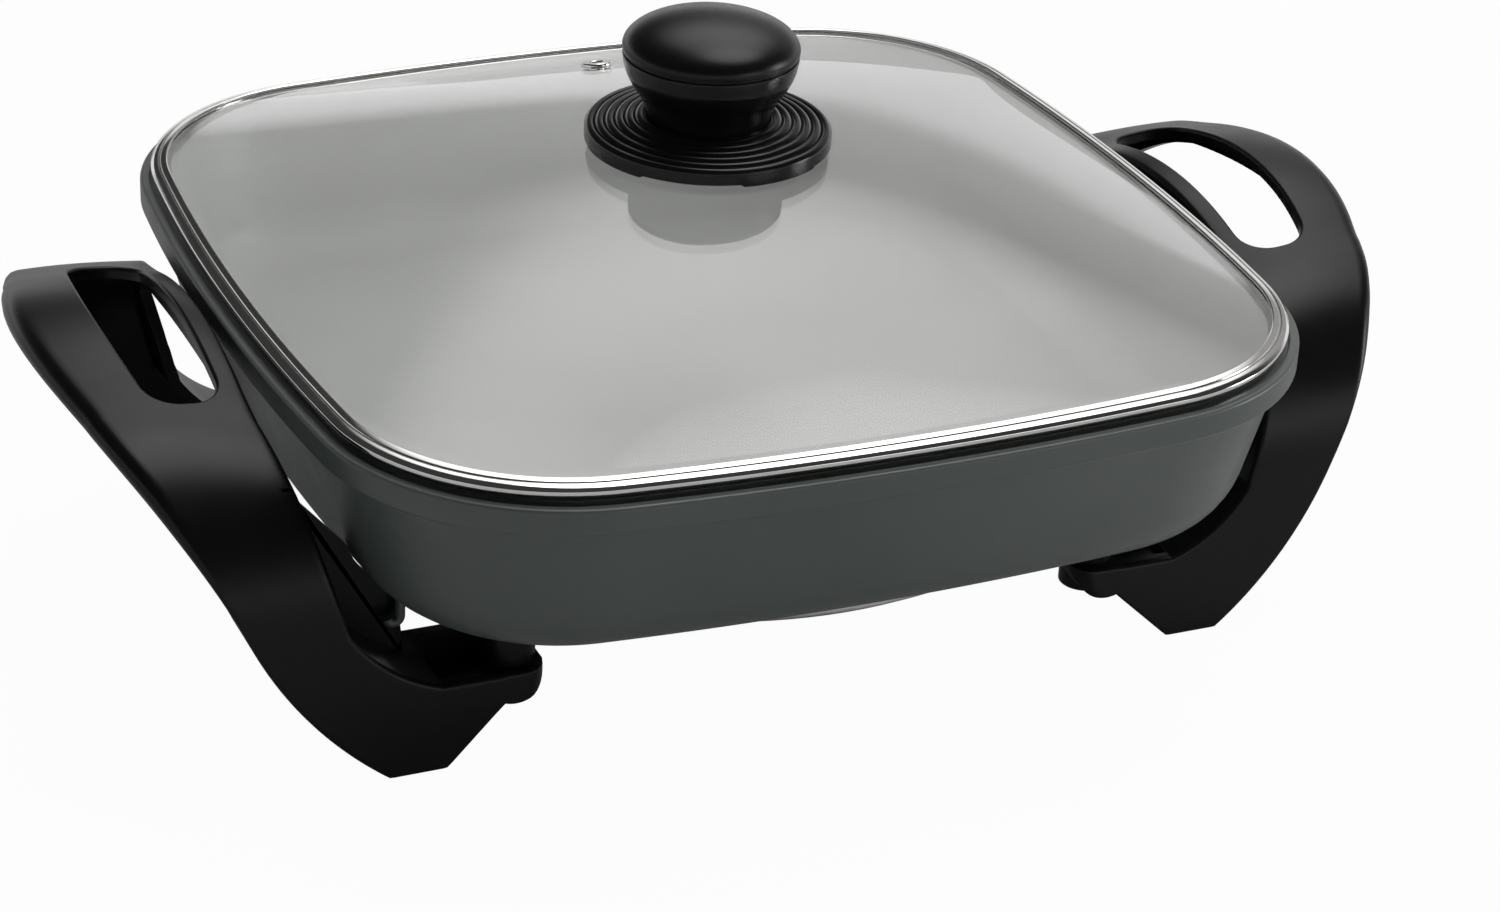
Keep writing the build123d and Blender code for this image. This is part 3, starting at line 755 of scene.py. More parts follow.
# ------------ lid
@dataclass
class Lid:
    """Domed glass in a rolled steel rim, with a steam eyelet behind the knob."""

    inset: float = 3.3
    foot: float = 101.2
    top: float = 108.2
    glass_top: float = 107.3
    thickness: float = 4.0
    margin: float = 9.3
    rise: float = 28.6
    cover: float = 3.0  # from the rim's outside to the glass's edge
    seat_radius: float = 33.0
    seat_round: float = 0.96  # how near to a circle the outline is at the seat
    screw_hole: float = 4.2
    vent_y: float = 88.0
    vent_hole: float = 3.0
    vent_bore: float = 2.2
    vent_flange: float = 5.0
    rows: int = 56
    seat_rows: int = 8

    def band(self, finish: Material) -> Object:
        """Steel channel round the rim: inner bead, groove, crowned slope, undercut and lower flange.

        Args:
            finish: steel of the rim.

        Returns:
            The finished object.
        """
        i, t, f, seat = self.inset, self.top, self.foot, self.glass_top + 0.05
        profile = rounded([
            (i + 5.0, seat, 0), (i + 5.0, t - 0.25, 0.2), (i + 4.6, t, 0.3),  # bead
            (i + 3.0, t - 0.5, 0.3), (i + 2.65, t - 1.3, 0.3), (i + 2.3, t - 0.7, 0.3),  # groove
            (i + 1.0, t - 1.1, 1.5), (i, t - 2.0, 0.6), (i, t - 3.3, 0.7),  # slope and side
            (i + 1.9, t - 4.5, 0.5), (i + 1.9, f, 0.3),  # undercut and skirt
            (i + 4.0, f, 0.2), (i + 4.0, f + 0.8, 0.2), (i + 2.7, f + 0.8, 0.3),  # lower flange
            (i + 2.7, t - 4.9, 0.3), (i + 0.8, t - 3.7, 0.3), (i + 0.8, t - 2.6, 0.3),  # inside
            (i + 2.65, t - 2.0, 0.3), (i + 3.8, seat, 0), (i + 5.0, seat, 0)], 6)
        shell = Shell("lid_rim_channel").grid(RIM.swept(profile))
        return shell.build(Body.LID, "rim_steel", finish, ["lid_rim_band"], 50)

    def sizes(self) -> Triple:
        """Half width and half depth of the dome's foot, and the seat's share of that size."""
        hx, hy = RIM.half_x - self.margin, RIM.half_y - self.margin
        return hx, hy, 2 * self.seat_radius / (hx + hy)

    def dome(self, drop: float) -> Array:
        """Dome surface from its foot to the hole for the knob's screw, `drop` lower down.

        The height is foot + rise (1 - s squared), with s the outline's share of its size at the foot.
        The outline turns from the rim's shape into a circle as it rises. Under the knob it is flat.

        Args:
            drop: how far below the outer face.

        Returns:
            Grid of points, share by outline.
        """
        hx, hy, seat = self.sizes()
        turned = np.linspace(0, 1, self.rows)
        half_x = hx + (self.seat_radius - hx) * turned
        half_y = hy + (self.seat_radius - hy) * turned
        share = 1 - (1 - seat) * turned
        circle = self.seat_round * turned
        side = 1 / ((1 - circle) / (RIM.side_radius - self.margin) + circle / half_y)
        corner = (RIM.corner_radius - self.margin) * share * (1 - circle) + half_x * circle
        flat = RIM.loops(half_x, half_y, side, corner)
        height = self.glass_top + self.rise * (1 - share ** 2)
        angle = np.arctan2(flat[-1, :, 1], flat[-1, :, 0])
        hole = self.screw_hole * np.stack([np.cos(angle), np.sin(angle)], -1)
        t = np.linspace(0, 1, self.seat_rows)[1:, None, None]
        flat = np.concatenate([flat, flat[-1:] * (1 - t) + hole[None] * t])
        height = np.concatenate([height, np.full(len(t), height[-1])])
        level = np.broadcast_to(height[:, None, None] - drop, (*flat.shape[:2], 1))
        return np.concatenate([flat, level], -1)

    def glass(self, finish: Material) -> Object:
        """Closed glass, cut by the vent's hole: outer dome, screw hole, inner dome and rounded edge.

        Args:
            finish: the glass.

        Returns:
            The finished object.
        """
        edge, top, low = self.inset + self.cover, self.glass_top, self.glass_top - self.thickness
        lip = [(edge + 2, low, 0), (edge, low, 0.8), (edge, top, 0.8), (edge + 2, top, 0)]
        over = RIM.swept(rounded(lip, 5))
        loop = np.concatenate([over, self.dome(0), self.dome(self.thickness)[::-1], over[:1]])
        piece = Shell("lid_glass_dome").grid(loop).build(Body.LID, "lid_glass", finish, ["lid_glass"], 35)
        below, above = -12.0, 8.0
        cut(piece, self.at_vent(lathe(np.array([(self.vent_hole, below), (self.vent_hole, above)]), 48)))
        return piece

    def at_vent(self, points: Array) -> Array:
        """Stand upright points on the vent, square to the dome's slope there.

        With share s falling evenly in y, the slope is 2 rise s (1 - seat) over the foot's reach in y.

        Args:
            points: points round the origin, with z upward.

        Returns:
            The points on the vent's axis.
        """
        _, hy, seat = self.sizes()
        share = 1 - (1 - seat) * (hy - self.vent_y) / (hy - self.seat_radius)
        slope = 2 * self.rise * share * (1 - seat) / (hy - self.seat_radius)
        centre = np.array([0, self.vent_y, self.glass_top + self.rise * (1 - share ** 2)])
        up = np.array([0, slope, 1.0])
        up /= np.linalg.norm(up)
        ahead = np.array([0, up[2], -up[1]])
        return centre + points[..., :1] * (1, 0, 0) + points[..., 1:2] * ahead + points[..., 2:] * up

    def eyelet(self, finish: Material) -> Object:
        """Steel eyelet rolled over both faces of the glass.

        Args:
            finish: steel of the eyelet.

        Returns:
            The finished object.
        """
        bore, body, flange = self.vent_bore, self.vent_hole - 0.15, self.vent_flange
        upper, lower = 0.15, -self.thickness - 0.1
        profile = rounded([(bore, lower - 0.7, 0.3), (flange, lower - 0.7, 0.3), (flange, lower, 0.2),
                           (body, lower, 0), (body, upper, 0), (flange, upper, 0.2), (flange - 0.1, 1.2, 0.5),
                           (bore, 1.2, 0.6), (bore, lower - 0.7, 0.3)], 6)
        shell = Shell("vent_eyelet").grid(self.at_vent(lathe(profile, 48)))
        return shell.build(Body.LID, "rim_steel", finish, ["vent_grommet"], 50)


# ------------ knob
@dataclass
class Knob:
    """Ridged disc with a notched skirt, flared grip and domed cap."""

    seat: float = 134.4
    disc_radius: float = 36.2
    skirt: float = 5.3
    gap: float = 0.9
    wall: float = 2.4
    boss_radius: float = 11.0
    boss_gap: float = 1.2
    screw_bore: float = 2.7
    ridges: int = 6
    ridge_pitch: float = 2.9
    ridge_height: float = 1.0
    ridge_rise: float = 0.55
    ridge_power: float = 0.75
    notches: int = 4
    notch_depth: float = 0.9
    notch_angle: float = 48.0
    notch_start: float = -54.7
    notch_ramp: float = 0.9
    stem_base: float = 142.9
    stem_foot: float = 19.0
    insert_bore: Pair = (4.2, 156.9)  # radius and upper end
    flare: tuple[Pair, ...] = (  # heights and radii of the grip
        (142.9, 18.5), (144.6, 18.55), (146.4, 18.9), (148.7, 19.9), (151.1, 21.4), (154.0, 23.2),
        (157.3, 24.75), (160.2, 25.5), (161.6, 25.7))
    stem_lip: Pair = (25.75, 162.4)
    groove_radius: float = 25.2
    stem_top: float = 162.6
    groove_top: float = 163.05
    cap_radius: float = 25.9
    cap_edge: float = 164.3
    cap_rise: float = 9.7

    def base(self, finish: Material) -> Object:
        """Disc whose ridges are half sine waves on a rising cone; its skirt steps up at four notches.

        With u the ridges counted inward, the height over the skirt is rise u + height |sin(pi u)| to the
        power 0.75. The lower edge lifts by the notch depth where the angle lies in a notch, with a
        short ramp at each end.

        Args:
            finish: plastic of the disc.

        Returns:
            The finished object.
        """
        r0, z0, w = self.disc_radius, self.seat + self.gap, self.wall
        top, under_top = z0 + self.skirt - self.ridge_height, self.stem_base - self.wall
        u = np.linspace(0, self.ridges, self.ridges * 14 + 1)
        wave = np.abs(np.sin(np.pi * u)) ** self.ridge_power
        height = top + u * self.ridge_rise + wave * self.ridge_height
        ridge = np.stack([r0 - u * self.ridge_pitch, height], -1)
        under = rounded([(self.boss_radius + 1, under_top, 0), (r0 - w, top - w, 1.0), (r0 - w, z0, 0.4),
                         (r0, z0, 0.5), (r0, top - 0.2, 0)], 6)
        inner = np.array([(18.3, self.stem_base + 0.1), (self.screw_bore, self.stem_base)])
        boss = rounded([(self.screw_bore, self.stem_base, 0), (self.screw_bore, self.seat + self.boss_gap, 0),
                        (self.boss_radius, self.seat + self.boss_gap, 0.6), (self.boss_radius, under_top, 0),
                        (self.boss_radius + 1, under_top, 0)], 4)
        profile = np.concatenate([under, ridge, inner, boss[1:]])
        points = lathe(profile, 384)
        turn = np.degrees(np.arctan2(points[..., 1], points[..., 0])) - self.notch_start
        phase = np.mod(turn, 360 / self.notches)
        ramp = np.clip(np.minimum(phase, self.notch_angle - phase) / self.notch_ramp + 0.5, 0, 1)
        radius, z = profile.T
        low = np.clip((z0 + self.notch_depth - z) / self.notch_depth, 0, 1) * (radius > r0 - 4)
        points[..., 2] += ramp * low[:, None] * self.notch_depth
        shell = Shell("knob_base_disc").grid(np.concatenate([points, points[:1]]))
        return shell.build(Body.LID, "knob_plastic", finish, ["knob_base"])

    def stem(self, finish: Material) -> Object:
        """Neck that flares up to the groove: a polynomial of the fifth degree through its radii.

        Args:
            finish: plastic of the grip.

        Returns:
            The finished object.
        """
        heights, radii = np.array(self.flare).T
        z = np.linspace(heights[0], heights[-1], 60)
        flare = np.stack([np.polynomial.Polynomial.fit(heights, radii, 5)(z), z], -1)
        head = rounded([(flare[-1, 0], heights[-1], 0), (*self.stem_lip, 0.3),
                        (self.groove_radius, self.stem_top, 0.15), (0, self.stem_top, 0)], 6)
        bore, bore_end = self.insert_bore
        foot = rounded([(bore, self.stem_base, 0), (self.stem_foot, self.stem_base, 0.3),
                        (flare[0, 0], self.stem_base + 0.4, 0)], 4)
        profile = np.concatenate([[(0, bore_end), (bore, bore_end)], foot, flare[2:], head])
        shell = Shell("knob_grip").grid(lathe(profile, 128))
        return shell.build(Body.LID, "knob_plastic", finish, ["knob_stem"])

    def cap(self, finish: Material) -> Object:
        """Flattened dome: r = R cos t, z = edge + rise sin t, over a short spigot that leaves a groove.

        Args:
            finish: plastic of the cap.

        Returns:
            The finished object.
        """
        t = np.linspace(0, np.pi / 2, 48)
        crown = np.stack([self.cap_radius * np.cos(t), self.cap_edge + self.cap_rise * np.sin(t)], -1)
        r, top = self.groove_radius, self.groove_top
        under = rounded([(0, self.stem_top, 0), (r, self.stem_top, 0), (r, top, 0.15),
                         (self.cap_radius - 0.3, top, 0.25), (self.cap_radius, self.cap_edge, 0)], 6)
        shell = Shell("knob_cap_dome").grid(lathe(np.concatenate([under, crown[1:]]), 128))
        return shell.build(Body.LID, "knob_plastic", finish, ["knob_cap"])


# ------------ handle
def arc_through(a: Pair, b: Pair, c: Pair, steps: int = 24) -> Array:
    """Arc of a circle from a through b to c, in a plane.

    Args:
        a: first point.
        b: a point between.
        c: last point.
        steps: number of points.

    Returns:
        Points of the arc.
    """
    a, b, c = (np.array(p, float) for p in (a, b, c))
    m = np.array([b - a, c - a]) * 2
    centre = np.linalg.solve(m, np.array([b @ b - a @ a, c @ c - a @ a]))
    start = math.atan2(*(a - centre)[::-1])
    turn = [(math.atan2(*(p - centre)[::-1]) - start) % (2 * math.pi) for p in (b, c)]
    sweep = turn[1] if turn[0] < turn[1] else turn[1] - 2 * math.pi
    t = start + np.linspace(0, 1, steps) * sweep
    return centre + np.linalg.norm(a - centre) * np.stack([np.cos(t), np.sin(t)], -1)


def tangent_arc(start: Array, heading: Array, end: Pair, steps: int = 24) -> tuple[Array, Array]:
    """Arc that leaves `start` along `heading` and ends at `end`.

    Args:
        start: first point.
        heading: unit direction there.
        end: last point.
        steps: number of points.

    Returns:
        The arc's points and its heading at the end.
    """
    chord = np.array(end, float) - start
    normal = np.array([-heading[1], heading[0]])
    radius = chord @ chord / (2 * (normal @ chord))
    centre = start + normal * radius
    sweep = 2 * math.atan2(chord @ normal, chord @ heading)
    t = np.linspace(0, 1, steps)[:, None] * sweep
    points = centre - normal * radius * np.cos(t) + heading * radius * np.sin(t)
    return points, heading * math.cos(sweep) + normal * math.sin(sweep)


def round_loops(corners: Array, radii: Array, steps: int, share: float | Array = 0.49) -> Array:
    """Round the corners of many closed loops at once, each by an arc that touches both its sides.

    Args:
        corners: loops by corners by u, v.
        radii: loops by corners.
        steps: points on each rounding.
        share: how much of the side before and after a corner its rounding may take, corner by two.

    Returns:
        Loops by points by u, v.
    """
    before, after = np.roll(corners, 1, 1) - corners, np.roll(corners, -1, 1) - corners
    lengths = [np.linalg.norm(v, axis=-1) + 1e-9 for v in (before, after)]
    u, v = before / lengths[0][..., None], after / lengths[1][..., None]
    half = np.clip(np.arccos(np.clip((u * v).sum(-1), -1, 1)) / 2, 0.1, np.pi / 2 - 1e-4)
    share = np.broadcast_to(share, (corners.shape[1], 2))
    radii = np.minimum(radii, np.minimum(lengths[0] * share[:, 0], lengths[1] * share[:, 1]) * np.tan(half))
    bisector = u + v
    bisector /= np.linalg.norm(bisector, axis=-1)[..., None] + 1e-9
    middle = corners + bisector * (radii / np.sin(half))[..., None]
    reach = (radii / np.tan(half))[..., None]
    a, b = ((corners + w * reach - middle)[:, :, None] for w in (u, v))
    sweep = (np.pi - 2 * half)[..., None, None]
    t = np.linspace(0, 1, steps)[:, None]
    arcs = middle[:, :, None] + (np.sin((1 - t) * sweep) * a + np.sin(t * sweep) * b) / np.sin(sweep)
    return arcs.reshape(len(corners), -1, 2)


def at_height(path: Array, z: Array) -> Array:
    """X of a falling path at given heights."""
    return np.interp(-z, -path[:, 1], path[:, 0])


def mark_at(path: Array, z: float) -> float:
    """Index, with its fraction, at which a falling path has a height."""
    return float(np.interp(-z, -path[:, 1], np.arange(len(path))))


@dataclass
class Handle:
    """Hollow moulded handle: arched loop with a finger hole, two legs, feet and tabs under the pan.

    A surface point is given by its place on the arch, its place across the strip and its depth. Pairs
    are x and height as seen from the front, and a run is a length along the arch from its crest.
    """

    side: int = 1
    # the arch from its crest down a leg, and the crown across it
    top: float = 107.2
    crest_radius: float = 132.0
    crest_angle: float = 17.4
    shoulder_run: float = 13.5
    shoulder_radius: float = 57.5
    leg_angle: float = 83.5
    arch_length: float = 172.0
    arch_steps: int = 3440
    row_steps: int = 22
    crown: float = 0.0036
    crown_x: float = 186.0
    crown_fade: Pair = (40.0, 90.0)  # runs
    # the channel's walls
    skin: float = 3.6
    edge_wall: float = 3.5
    thin_wall: float = 0.3  # share of a narrow strip
    loop_depth: float = 11.7
    underside_radius: float = 286.0
    depths: Pair = (7.0, 30.0)
    foot_extra: float = 1.5
    straight_depth: float = 15.0
    leg_inner_y: float = 72.85
    outer_round: float = 4.0
    inner_round: float = 1.6
    wall_rounds: tuple[float, ...] = (12, 0.8, 0.8, 8, 1.5, 1.5, 8, 0.8, 0.8, 12)
    full_width: float = 12.0  # strips narrower than this have smaller roundings
    sharper: float = 0.72  # share that the outer rounding loses down the leg
    sharper_fade: Pair = (75.0, 115.0)  # runs
    round_steps: int = 6
    fill_steps: int = 24
    # outlines seen from the front
    tip_x: float = 212.03
    tip_length: float = 9.66
    knee: Pair = (168.0, 46.4)
    sole: Pair = (130.1, 113.5)  # both ends of the sole, in x
    heel: Pair = (98.0, 14.4)
    nose: tuple[Pair, ...] = ((96.0, 16.3), (86.0, 18.4), (82.8, 25.2))
    inner_x: float = 153.5
    inner_foot: float = 96.0
    instep: tuple[Pair, ...] = ((114.0, 25.3), (129.3, 33.0), (139.6, 44.0))
    tab_back: Pair = (82.7, 25.3)
    split: float = 60.0  # height from which sections join the two outlines by their own marks
    ankle: float = 26.0
    instep_mark: int = 12
    tab_marks: Pair = (110.0, 95.0)
    tab_start: float = 113.0
    tab_end: float = 82.8
    tab_side_y: float = 96.0
    tab_corner: float = 8.0
    # finger hole
    hole_inner: float = 160.3
    hole_outer: float = 185.0
    hole_bow: float = 5.0
    hole_half: float = 46.0
    hole_corner: float = 9.5
    hole_steps: int = 180
    lip: float = 1.3
    lip_angle: float = 78.0
    plug: Pair = (72.0, 125.0)  # heights of the hole's cutter
    # trays, pillars, ribs and plate behind the tabs
    tray_x: Pair = (98.5, 114.0)
    tray_z: Pair = (23.0, 27.0)
    foot_y: float = 97.85
    foot_slope: float = 2.9
    pillar: Pair = (91.0, 83.95)
    pillar_radii: Triple = (7.5, 5.3, 2.3)  # outside, screw head, screw
    pillar_z: Triple = (16.3, 24.3, 38.7)  # foot, seat of the screw head, top
    rib: tuple[Triple, ...] = (
        (91.0, 16.3, 0.5), (121.5, 16.3, 0.5), (121.5, 25.3, 0.5), (119.5, 31.7, 1.0), (91.0, 31.7, 1.0))
    plate_y: Pair = (72.9, 75.85)
    plate_x: float = 119.5
    plate_z: Triple = (25.3, 31.5, 83.5)  # foot, start beside the pan, top
    slant_foot: float = 45.0

    def __post_init__(self) -> None:
        """Work out the arch by adding up its heading along its length, and both outlines."""
        crest = self.crest_radius * math.radians(self.crest_angle)
        shoulder = self.shoulder_radius * math.radians(self.leg_angle - self.crest_angle)
        marks = np.cumsum([0, crest, self.shoulder_run, shoulder])
        self.run = np.linspace(0, self.arch_length, self.arch_steps + 1)
        angles = [0, self.crest_angle, self.crest_angle, self.leg_angle]
        self.heading = np.radians(np.interp(self.run, marks, angles))
        step = self.run[1]
        middle = (self.heading[1:] + self.heading[:-1]) / 2
        self.arch_y = np.concatenate([[0], np.cumsum(np.cos(middle)) * step])
        self.arch_z = self.top - np.concatenate([[0], np.cumsum(np.sin(middle)) * step])
        lean = np.array([math.sqrt(0.5)] * 2)
        tip = np.array([self.tip_x, self.top])
        flare, heading = tangent_arc(tip - lean * self.tip_length, -lean, self.knee)
        calf, _ = tangent_arc(flare[-1], heading, (self.sole[0], 0))
        self.flank = np.concatenate([[tip + lean * 4, tip], flare, calf[1:]])
        sole = rounded([(*calf[-2], 0), (self.sole[0], 0, 1.2), (self.sole[1], 0, 1.5), (*self.heel, 0)])[1:]
        self.outer_path = np.concatenate([self.flank[:-1], sole, arc_through(*self.nose)])
        above = [(self.inner_x, self.top + 5), (self.inner_x, self.inner_foot)]
        self.inner_leg = np.concatenate([above, arc_through(*self.instep)[::-1]])
        self.inner_path = np.concatenate([self.inner_leg, [self.tab_back]])
        self.set_rows()

    def set_rows(self) -> None:
        """Set the sections' inner and outer edge points (x, z), from the middle of the loop to the tab's end.

        Above the split both edges are read at the arch's height. Below it, marks on both outlines belong
        together: split, ankle, the sole's two corners, the nose's start and its end. The sections' runs
        are negative there, because they follow from the height instead.
        """
        upper = self.run[self.arch_z > self.split][::self.row_steps]
        upper = np.append(upper, np.interp(-self.split, -self.arch_z, self.run))
        z = np.interp(upper, self.run, self.arch_z)
        inner, outer = (np.stack([at_height(path, z), z], -1) for path in (self.inner_leg, self.flank))
        sole, end = len(self.flank), len(self.outer_path) - 1
        nose = end - 23
        falls = [mark_at(self.flank[:-1], z) for z in (self.split, self.ankle)]
        outer_marks = [*falls, sole + 1, sole + 8, nose, end]
        ball, back = len(self.inner_leg) - 1, self.tab_back[0]
        start = self.instep[0][0]
        tab = [ball + (start - x) / (start - back) for x in self.tab_marks]
        inner_marks = [mark_at(self.inner_leg, self.split), self.instep_mark, ball, *tab, ball + 1]
        spans = ((0, 2, 49), (2, 3, 15), (3, 4, 13), (4, 4.985, 15))
        keys = np.concatenate([np.linspace(*span)[1:] for span in spans])
        lower = []
        for path, marks in ((self.inner_path, inner_marks), (self.outer_path, outer_marks)):
            lengths = np.interp(marks, np.arange(len(path)), path_length(path))
            lower.append(read_path(path, np.interp(keys, np.arange(6), lengths)))
        self.inner, self.outer = np.concatenate([inner, lower[0]]), np.concatenate([outer, lower[1]])
        self.runs = np.concatenate([upper, np.full(len(keys), -1.0)])
        self.width = np.linalg.norm(self.outer - self.inner, axis=-1)

    def run_at(self, run: Array, z: Array) -> Array:
        """Run along the arch, taken from the height where it is negative."""
        return np.where(run < 0, np.interp(-z, -self.arch_z, self.run), run)

    def turn_at(self, run: Array) -> Array:
        """Angle of the depth's direction: the arch's heading, made a right angle on the leg."""
        return np.interp(run, self.run, self.heading) * 90 / self.leg_angle

    def crown_at(self, x: Array, run: Array) -> Array:
        """How far the crowned skin lies under the arch: a parabola across that fades down the shoulder."""
        start, end = self.crown_fade
        return self.crown * (x - self.crown_x) ** 2 * (1 - ease((run - start) / (end - start)))

    def place(self, flat: Array, run: Array, depth: Array, turned: int) -> Array:
        """Points on the arch at a depth under its skin.

        Args:
            flat: distance from the pan's middle and height on the skin.
            run: run along the arch, or negative to take it from the height.
            depth: depth under the skin.
            turned: 1 for the rear leg, -1 for the front leg.

        Returns:
            Points x, y, z.
        """
        x, z = flat[..., 0], flat[..., 1]
        run = self.run_at(run, z)
        angle = self.turn_at(run)
        drop = depth + self.crown_at(x, run)
        y = np.interp(run, self.run, self.arch_y) - drop * np.sin(angle)
        height = np.where(z > self.split, np.interp(run, self.run, self.arch_z), z) - drop * np.cos(angle)
        return np.stack([x * self.side, y * turned, height], -1)

    def wall_depth(self) -> Array:
        """Depth of each section's walls, square to the skin.

        They reach down to the loop's gently arched lower edge, or to the leg's back.
        """
        run = self.run_at(self.runs, (self.inner[:, 1] + self.outer[:, 1]) / 2)[:, None]
        angle = self.turn_at(run)
        depth = np.linspace(*self.depths, 461)
        y = np.interp(run, self.run, self.arch_y) - depth * np.sin(angle)
        height = np.interp(run, self.run, self.arch_z) - depth * np.cos(angle)
        r = self.underside_radius
        edge = self.top - self.loop_depth - r + np.sqrt(r ** 2 - y ** 2)
        return depth[np.argmax((y < self.leg_inner_y) & (height < edge), axis=1)]

    def corners(self) -> Array:
        """Twelve corners of each section: skin, outer wall and inner wall with the pocket between them.

        In the tab the channel is filled up to its back.

        Returns:
            Sections by corners by place across and depth.
        """
        width, sunk = self.width, self.runs < 0
        angle = self.turn_at(self.run_at(self.runs, self.outer[:, 1]))

        def shift(path: Array, edge: Array, depth: Array) -> Array:
            """Sideways move of a wall at a depth, as the front outline asks.

            Args:
                path: outline of the wall.
                edge: points of the wall on the skin.
                depth: depths under the skin.

            Returns:
                The move of each section.
            """
            below = edge[:, 1] - depth * np.cos(angle)
            move = at_height(path, below) - at_height(path, edge[:, 1])
            return np.where(np.cos(angle) > 0.02, move, 0)

        wall = np.minimum(self.edge_wall, width * self.thin_wall)
        tab = self.inner[:, 0] < self.tab_start
        depth = self.wall_depth() + np.where(sunk, self.foot_extra, 0)
        pocket = np.where(tab, depth - 0.05, self.skin)
        level = np.minimum(self.straight_depth, 0.97 * depth)
        out, foot_out = (shift(self.flank, self.outer, d) + width for d in (level, depth))
        inn, foot_in = (shift(self.inner_leg, self.inner, d) for d in (level, depth))
        outer_wall = wall * np.hypot(1, (out - width) / level)
        reach = pocket / level
        pocket_out = np.where(tab, foot_out, width + (out - width) * reach) - outer_wall
        pocket_in = np.where(tab, foot_in, inn * reach) + wall
        u = [0 * width, width, out, foot_out, foot_out - outer_wall, out - outer_wall,
             pocket_out, pocket_in, inn + wall, foot_in + wall, foot_in, inn]
        mid = np.maximum(level, pocket)
        v = [0 * width, 0 * width, level, depth, depth, mid, pocket, pocket, mid, depth, depth, level]
        return np.stack([np.stack(u, -1), np.stack(v, -1)], -1)

    def sections(self) -> Array:
        """Closed outlines of the sections: their corners rounded, with points across skin and pocket.

        Returns:
            Sections by points by place across and depth.
        """
        corners = self.corners()
        start, end = self.sharper_fade
        fade = np.where(self.runs < 0, 1, ease((self.runs - start) / (end - start)))
        radii = np.array([self.inner_round, self.outer_round, *self.wall_rounds])
        radii = radii * np.clip(self.width / self.full_width, 0.05, 1)[:, None]
        radii[:, 1] *= 1 - self.sharper * fade
        share = np.full((corners.shape[1], 2), 0.49)
        share[1:3] = (0.49, 0.93), (0.06, 0.49)
        n = self.round_steps
        loops = round_loops(corners, radii, n, share)
        t = np.linspace(0, 1, self.fill_steps + 2)[1:-1, None]
        skin, pocket = (loops[:, k - 1:k] * (1 - t) + loops[:, k:k + 1] * t for k in (n, 7 * n))
        return np.concatenate([loops[:, :n], skin, loops[:, n:7 * n], pocket, loops[:, 7 * n:]], 1)

    def half(self, turned: int) -> Array:
        """Sections from the middle of the loop to one tab's end, held off the pan and rounded at the tab.

        Args:
            turned: 1 for the rear leg, -1 for the front leg.

        Returns:
            Grid of points, section by point.
        """
        loops = self.sections()
        across = (self.outer - self.inner) / self.width[:, None]
        flat = self.inner[:, None] + across[:, None] * loops[..., :1]
        runs = np.broadcast_to(self.runs[:, None], loops.shape[:2])
        points = self.place(flat, runs, loops[..., 1], turned)
        x, y = np.abs(points[..., 0]), points[..., 1] * turned
        y = np.where(runs < 0, np.maximum(y, self.leg_inner_y), y)
        off = np.clip(self.tab_end + self.tab_corner - x, 0, self.tab_corner)
        limit = self.tab_side_y - self.tab_corner + np.sqrt(self.tab_corner ** 2 - off ** 2)
        points[..., 1] = np.where(off > 0, np.minimum(y, limit), y) * turned
        return points

    def moulding(self, finish: Material, replaced: str) -> Object:
        """The channel from tab to tab, cut by the finger hole and the trays in its tabs.

        Args:
            finish: plastic of the handle.
            replaced: the CAD node it stands for.

        Returns:
            The finished object.
        """
        grid = np.concatenate([self.half(-1)[:0:-1], self.half(1)])
        shell = Shell(f"{replaced}_moulding").grid(grid, capped=True)
        piece = shell.build(Body.SKILLET, "handle_plastic", finish, [replaced], 35)
        cut(piece, self.hole_cutter())
        (x0, x1), y0, y1 = self.tray_x, self.plate_y[0], self.foot_y - self.foot_slope - self.skin
        for sign in (-1, 1):
            tray = np.array([(x0, y0), (x1, y0), (x1, y1), (x0, y1)]) * (self.side, sign)
            cut(piece, np.stack([np.concatenate([tray, np.full((4, 1), z)], -1) for z in self.tray_z]))
        return piece

    def hole(self, margin: float) -> Array:
        """Finger hole: straight beside the pan, bowed outside, with rounded corners.

        Args:
            margin: how far outside the hole's edge.

        Returns:
            Closed outline of x, y.
        """
        near, far = self.hole_inner, self.hole_outer - self.hole_bow
        half, r = self.hole_half, self.hole_corner
        bow = arc_through((far, half), (self.hole_outer, 0), (far, -half), 61)[5:-5]
        points = rounded([(near, 0, 0), (near, half, r), (far, half, r), *[(x, y, 0) for x, y in bow],
                          (far, -half, r), (near, -half, r), (near, -0.001, 0)], 10)
        even = read_path(points, np.linspace(0, path_length(points)[-1], self.hole_steps + 1)[:-1])
        tangent = np.roll(even, -1, 0) - np.roll(even, 1, 0)
        tangent /= np.linalg.norm(tangent, axis=-1)[:, None]
        return even + margin * np.stack([-tangent[:, 1], tangent[:, 0]], -1)

    def hole_cutter(self) -> Array:
        """Plug of the finger hole that flares at the skin, so that the cut leaves a rolled lip.

        The plug is upright up to one lip radius under the skin. From there its margin is
        r (1 - cos t) at a depth of r (1 - sin t), and above the skin it is upright again.

        Returns:
            Grid of points, from the plug's foot to its top.
        """
        t = np.radians(np.linspace(0, self.lip_angle, 7))
        depth = self.lip * (1 - np.sin(t))
        loops = np.stack([self.hole(m) for m in self.lip * (1 - np.cos(t))])
        run = np.interp(np.abs(loops[..., 1]), self.arch_y, self.run)
        slope = np.interp(run, self.run, self.heading)
        skin = np.interp(run, self.run, self.arch_z) - self.crown_at(loops[..., 0], run) / np.cos(slope)
        loops = np.concatenate([loops[:1], loops, loops[-1:]])
        foot, top = (skin[:1] * 0 + z for z in self.plug)
        level = np.concatenate([foot, skin - depth[:, None], top])
        return np.concatenate([loops * (self.side, 1), level[..., None]], -1)

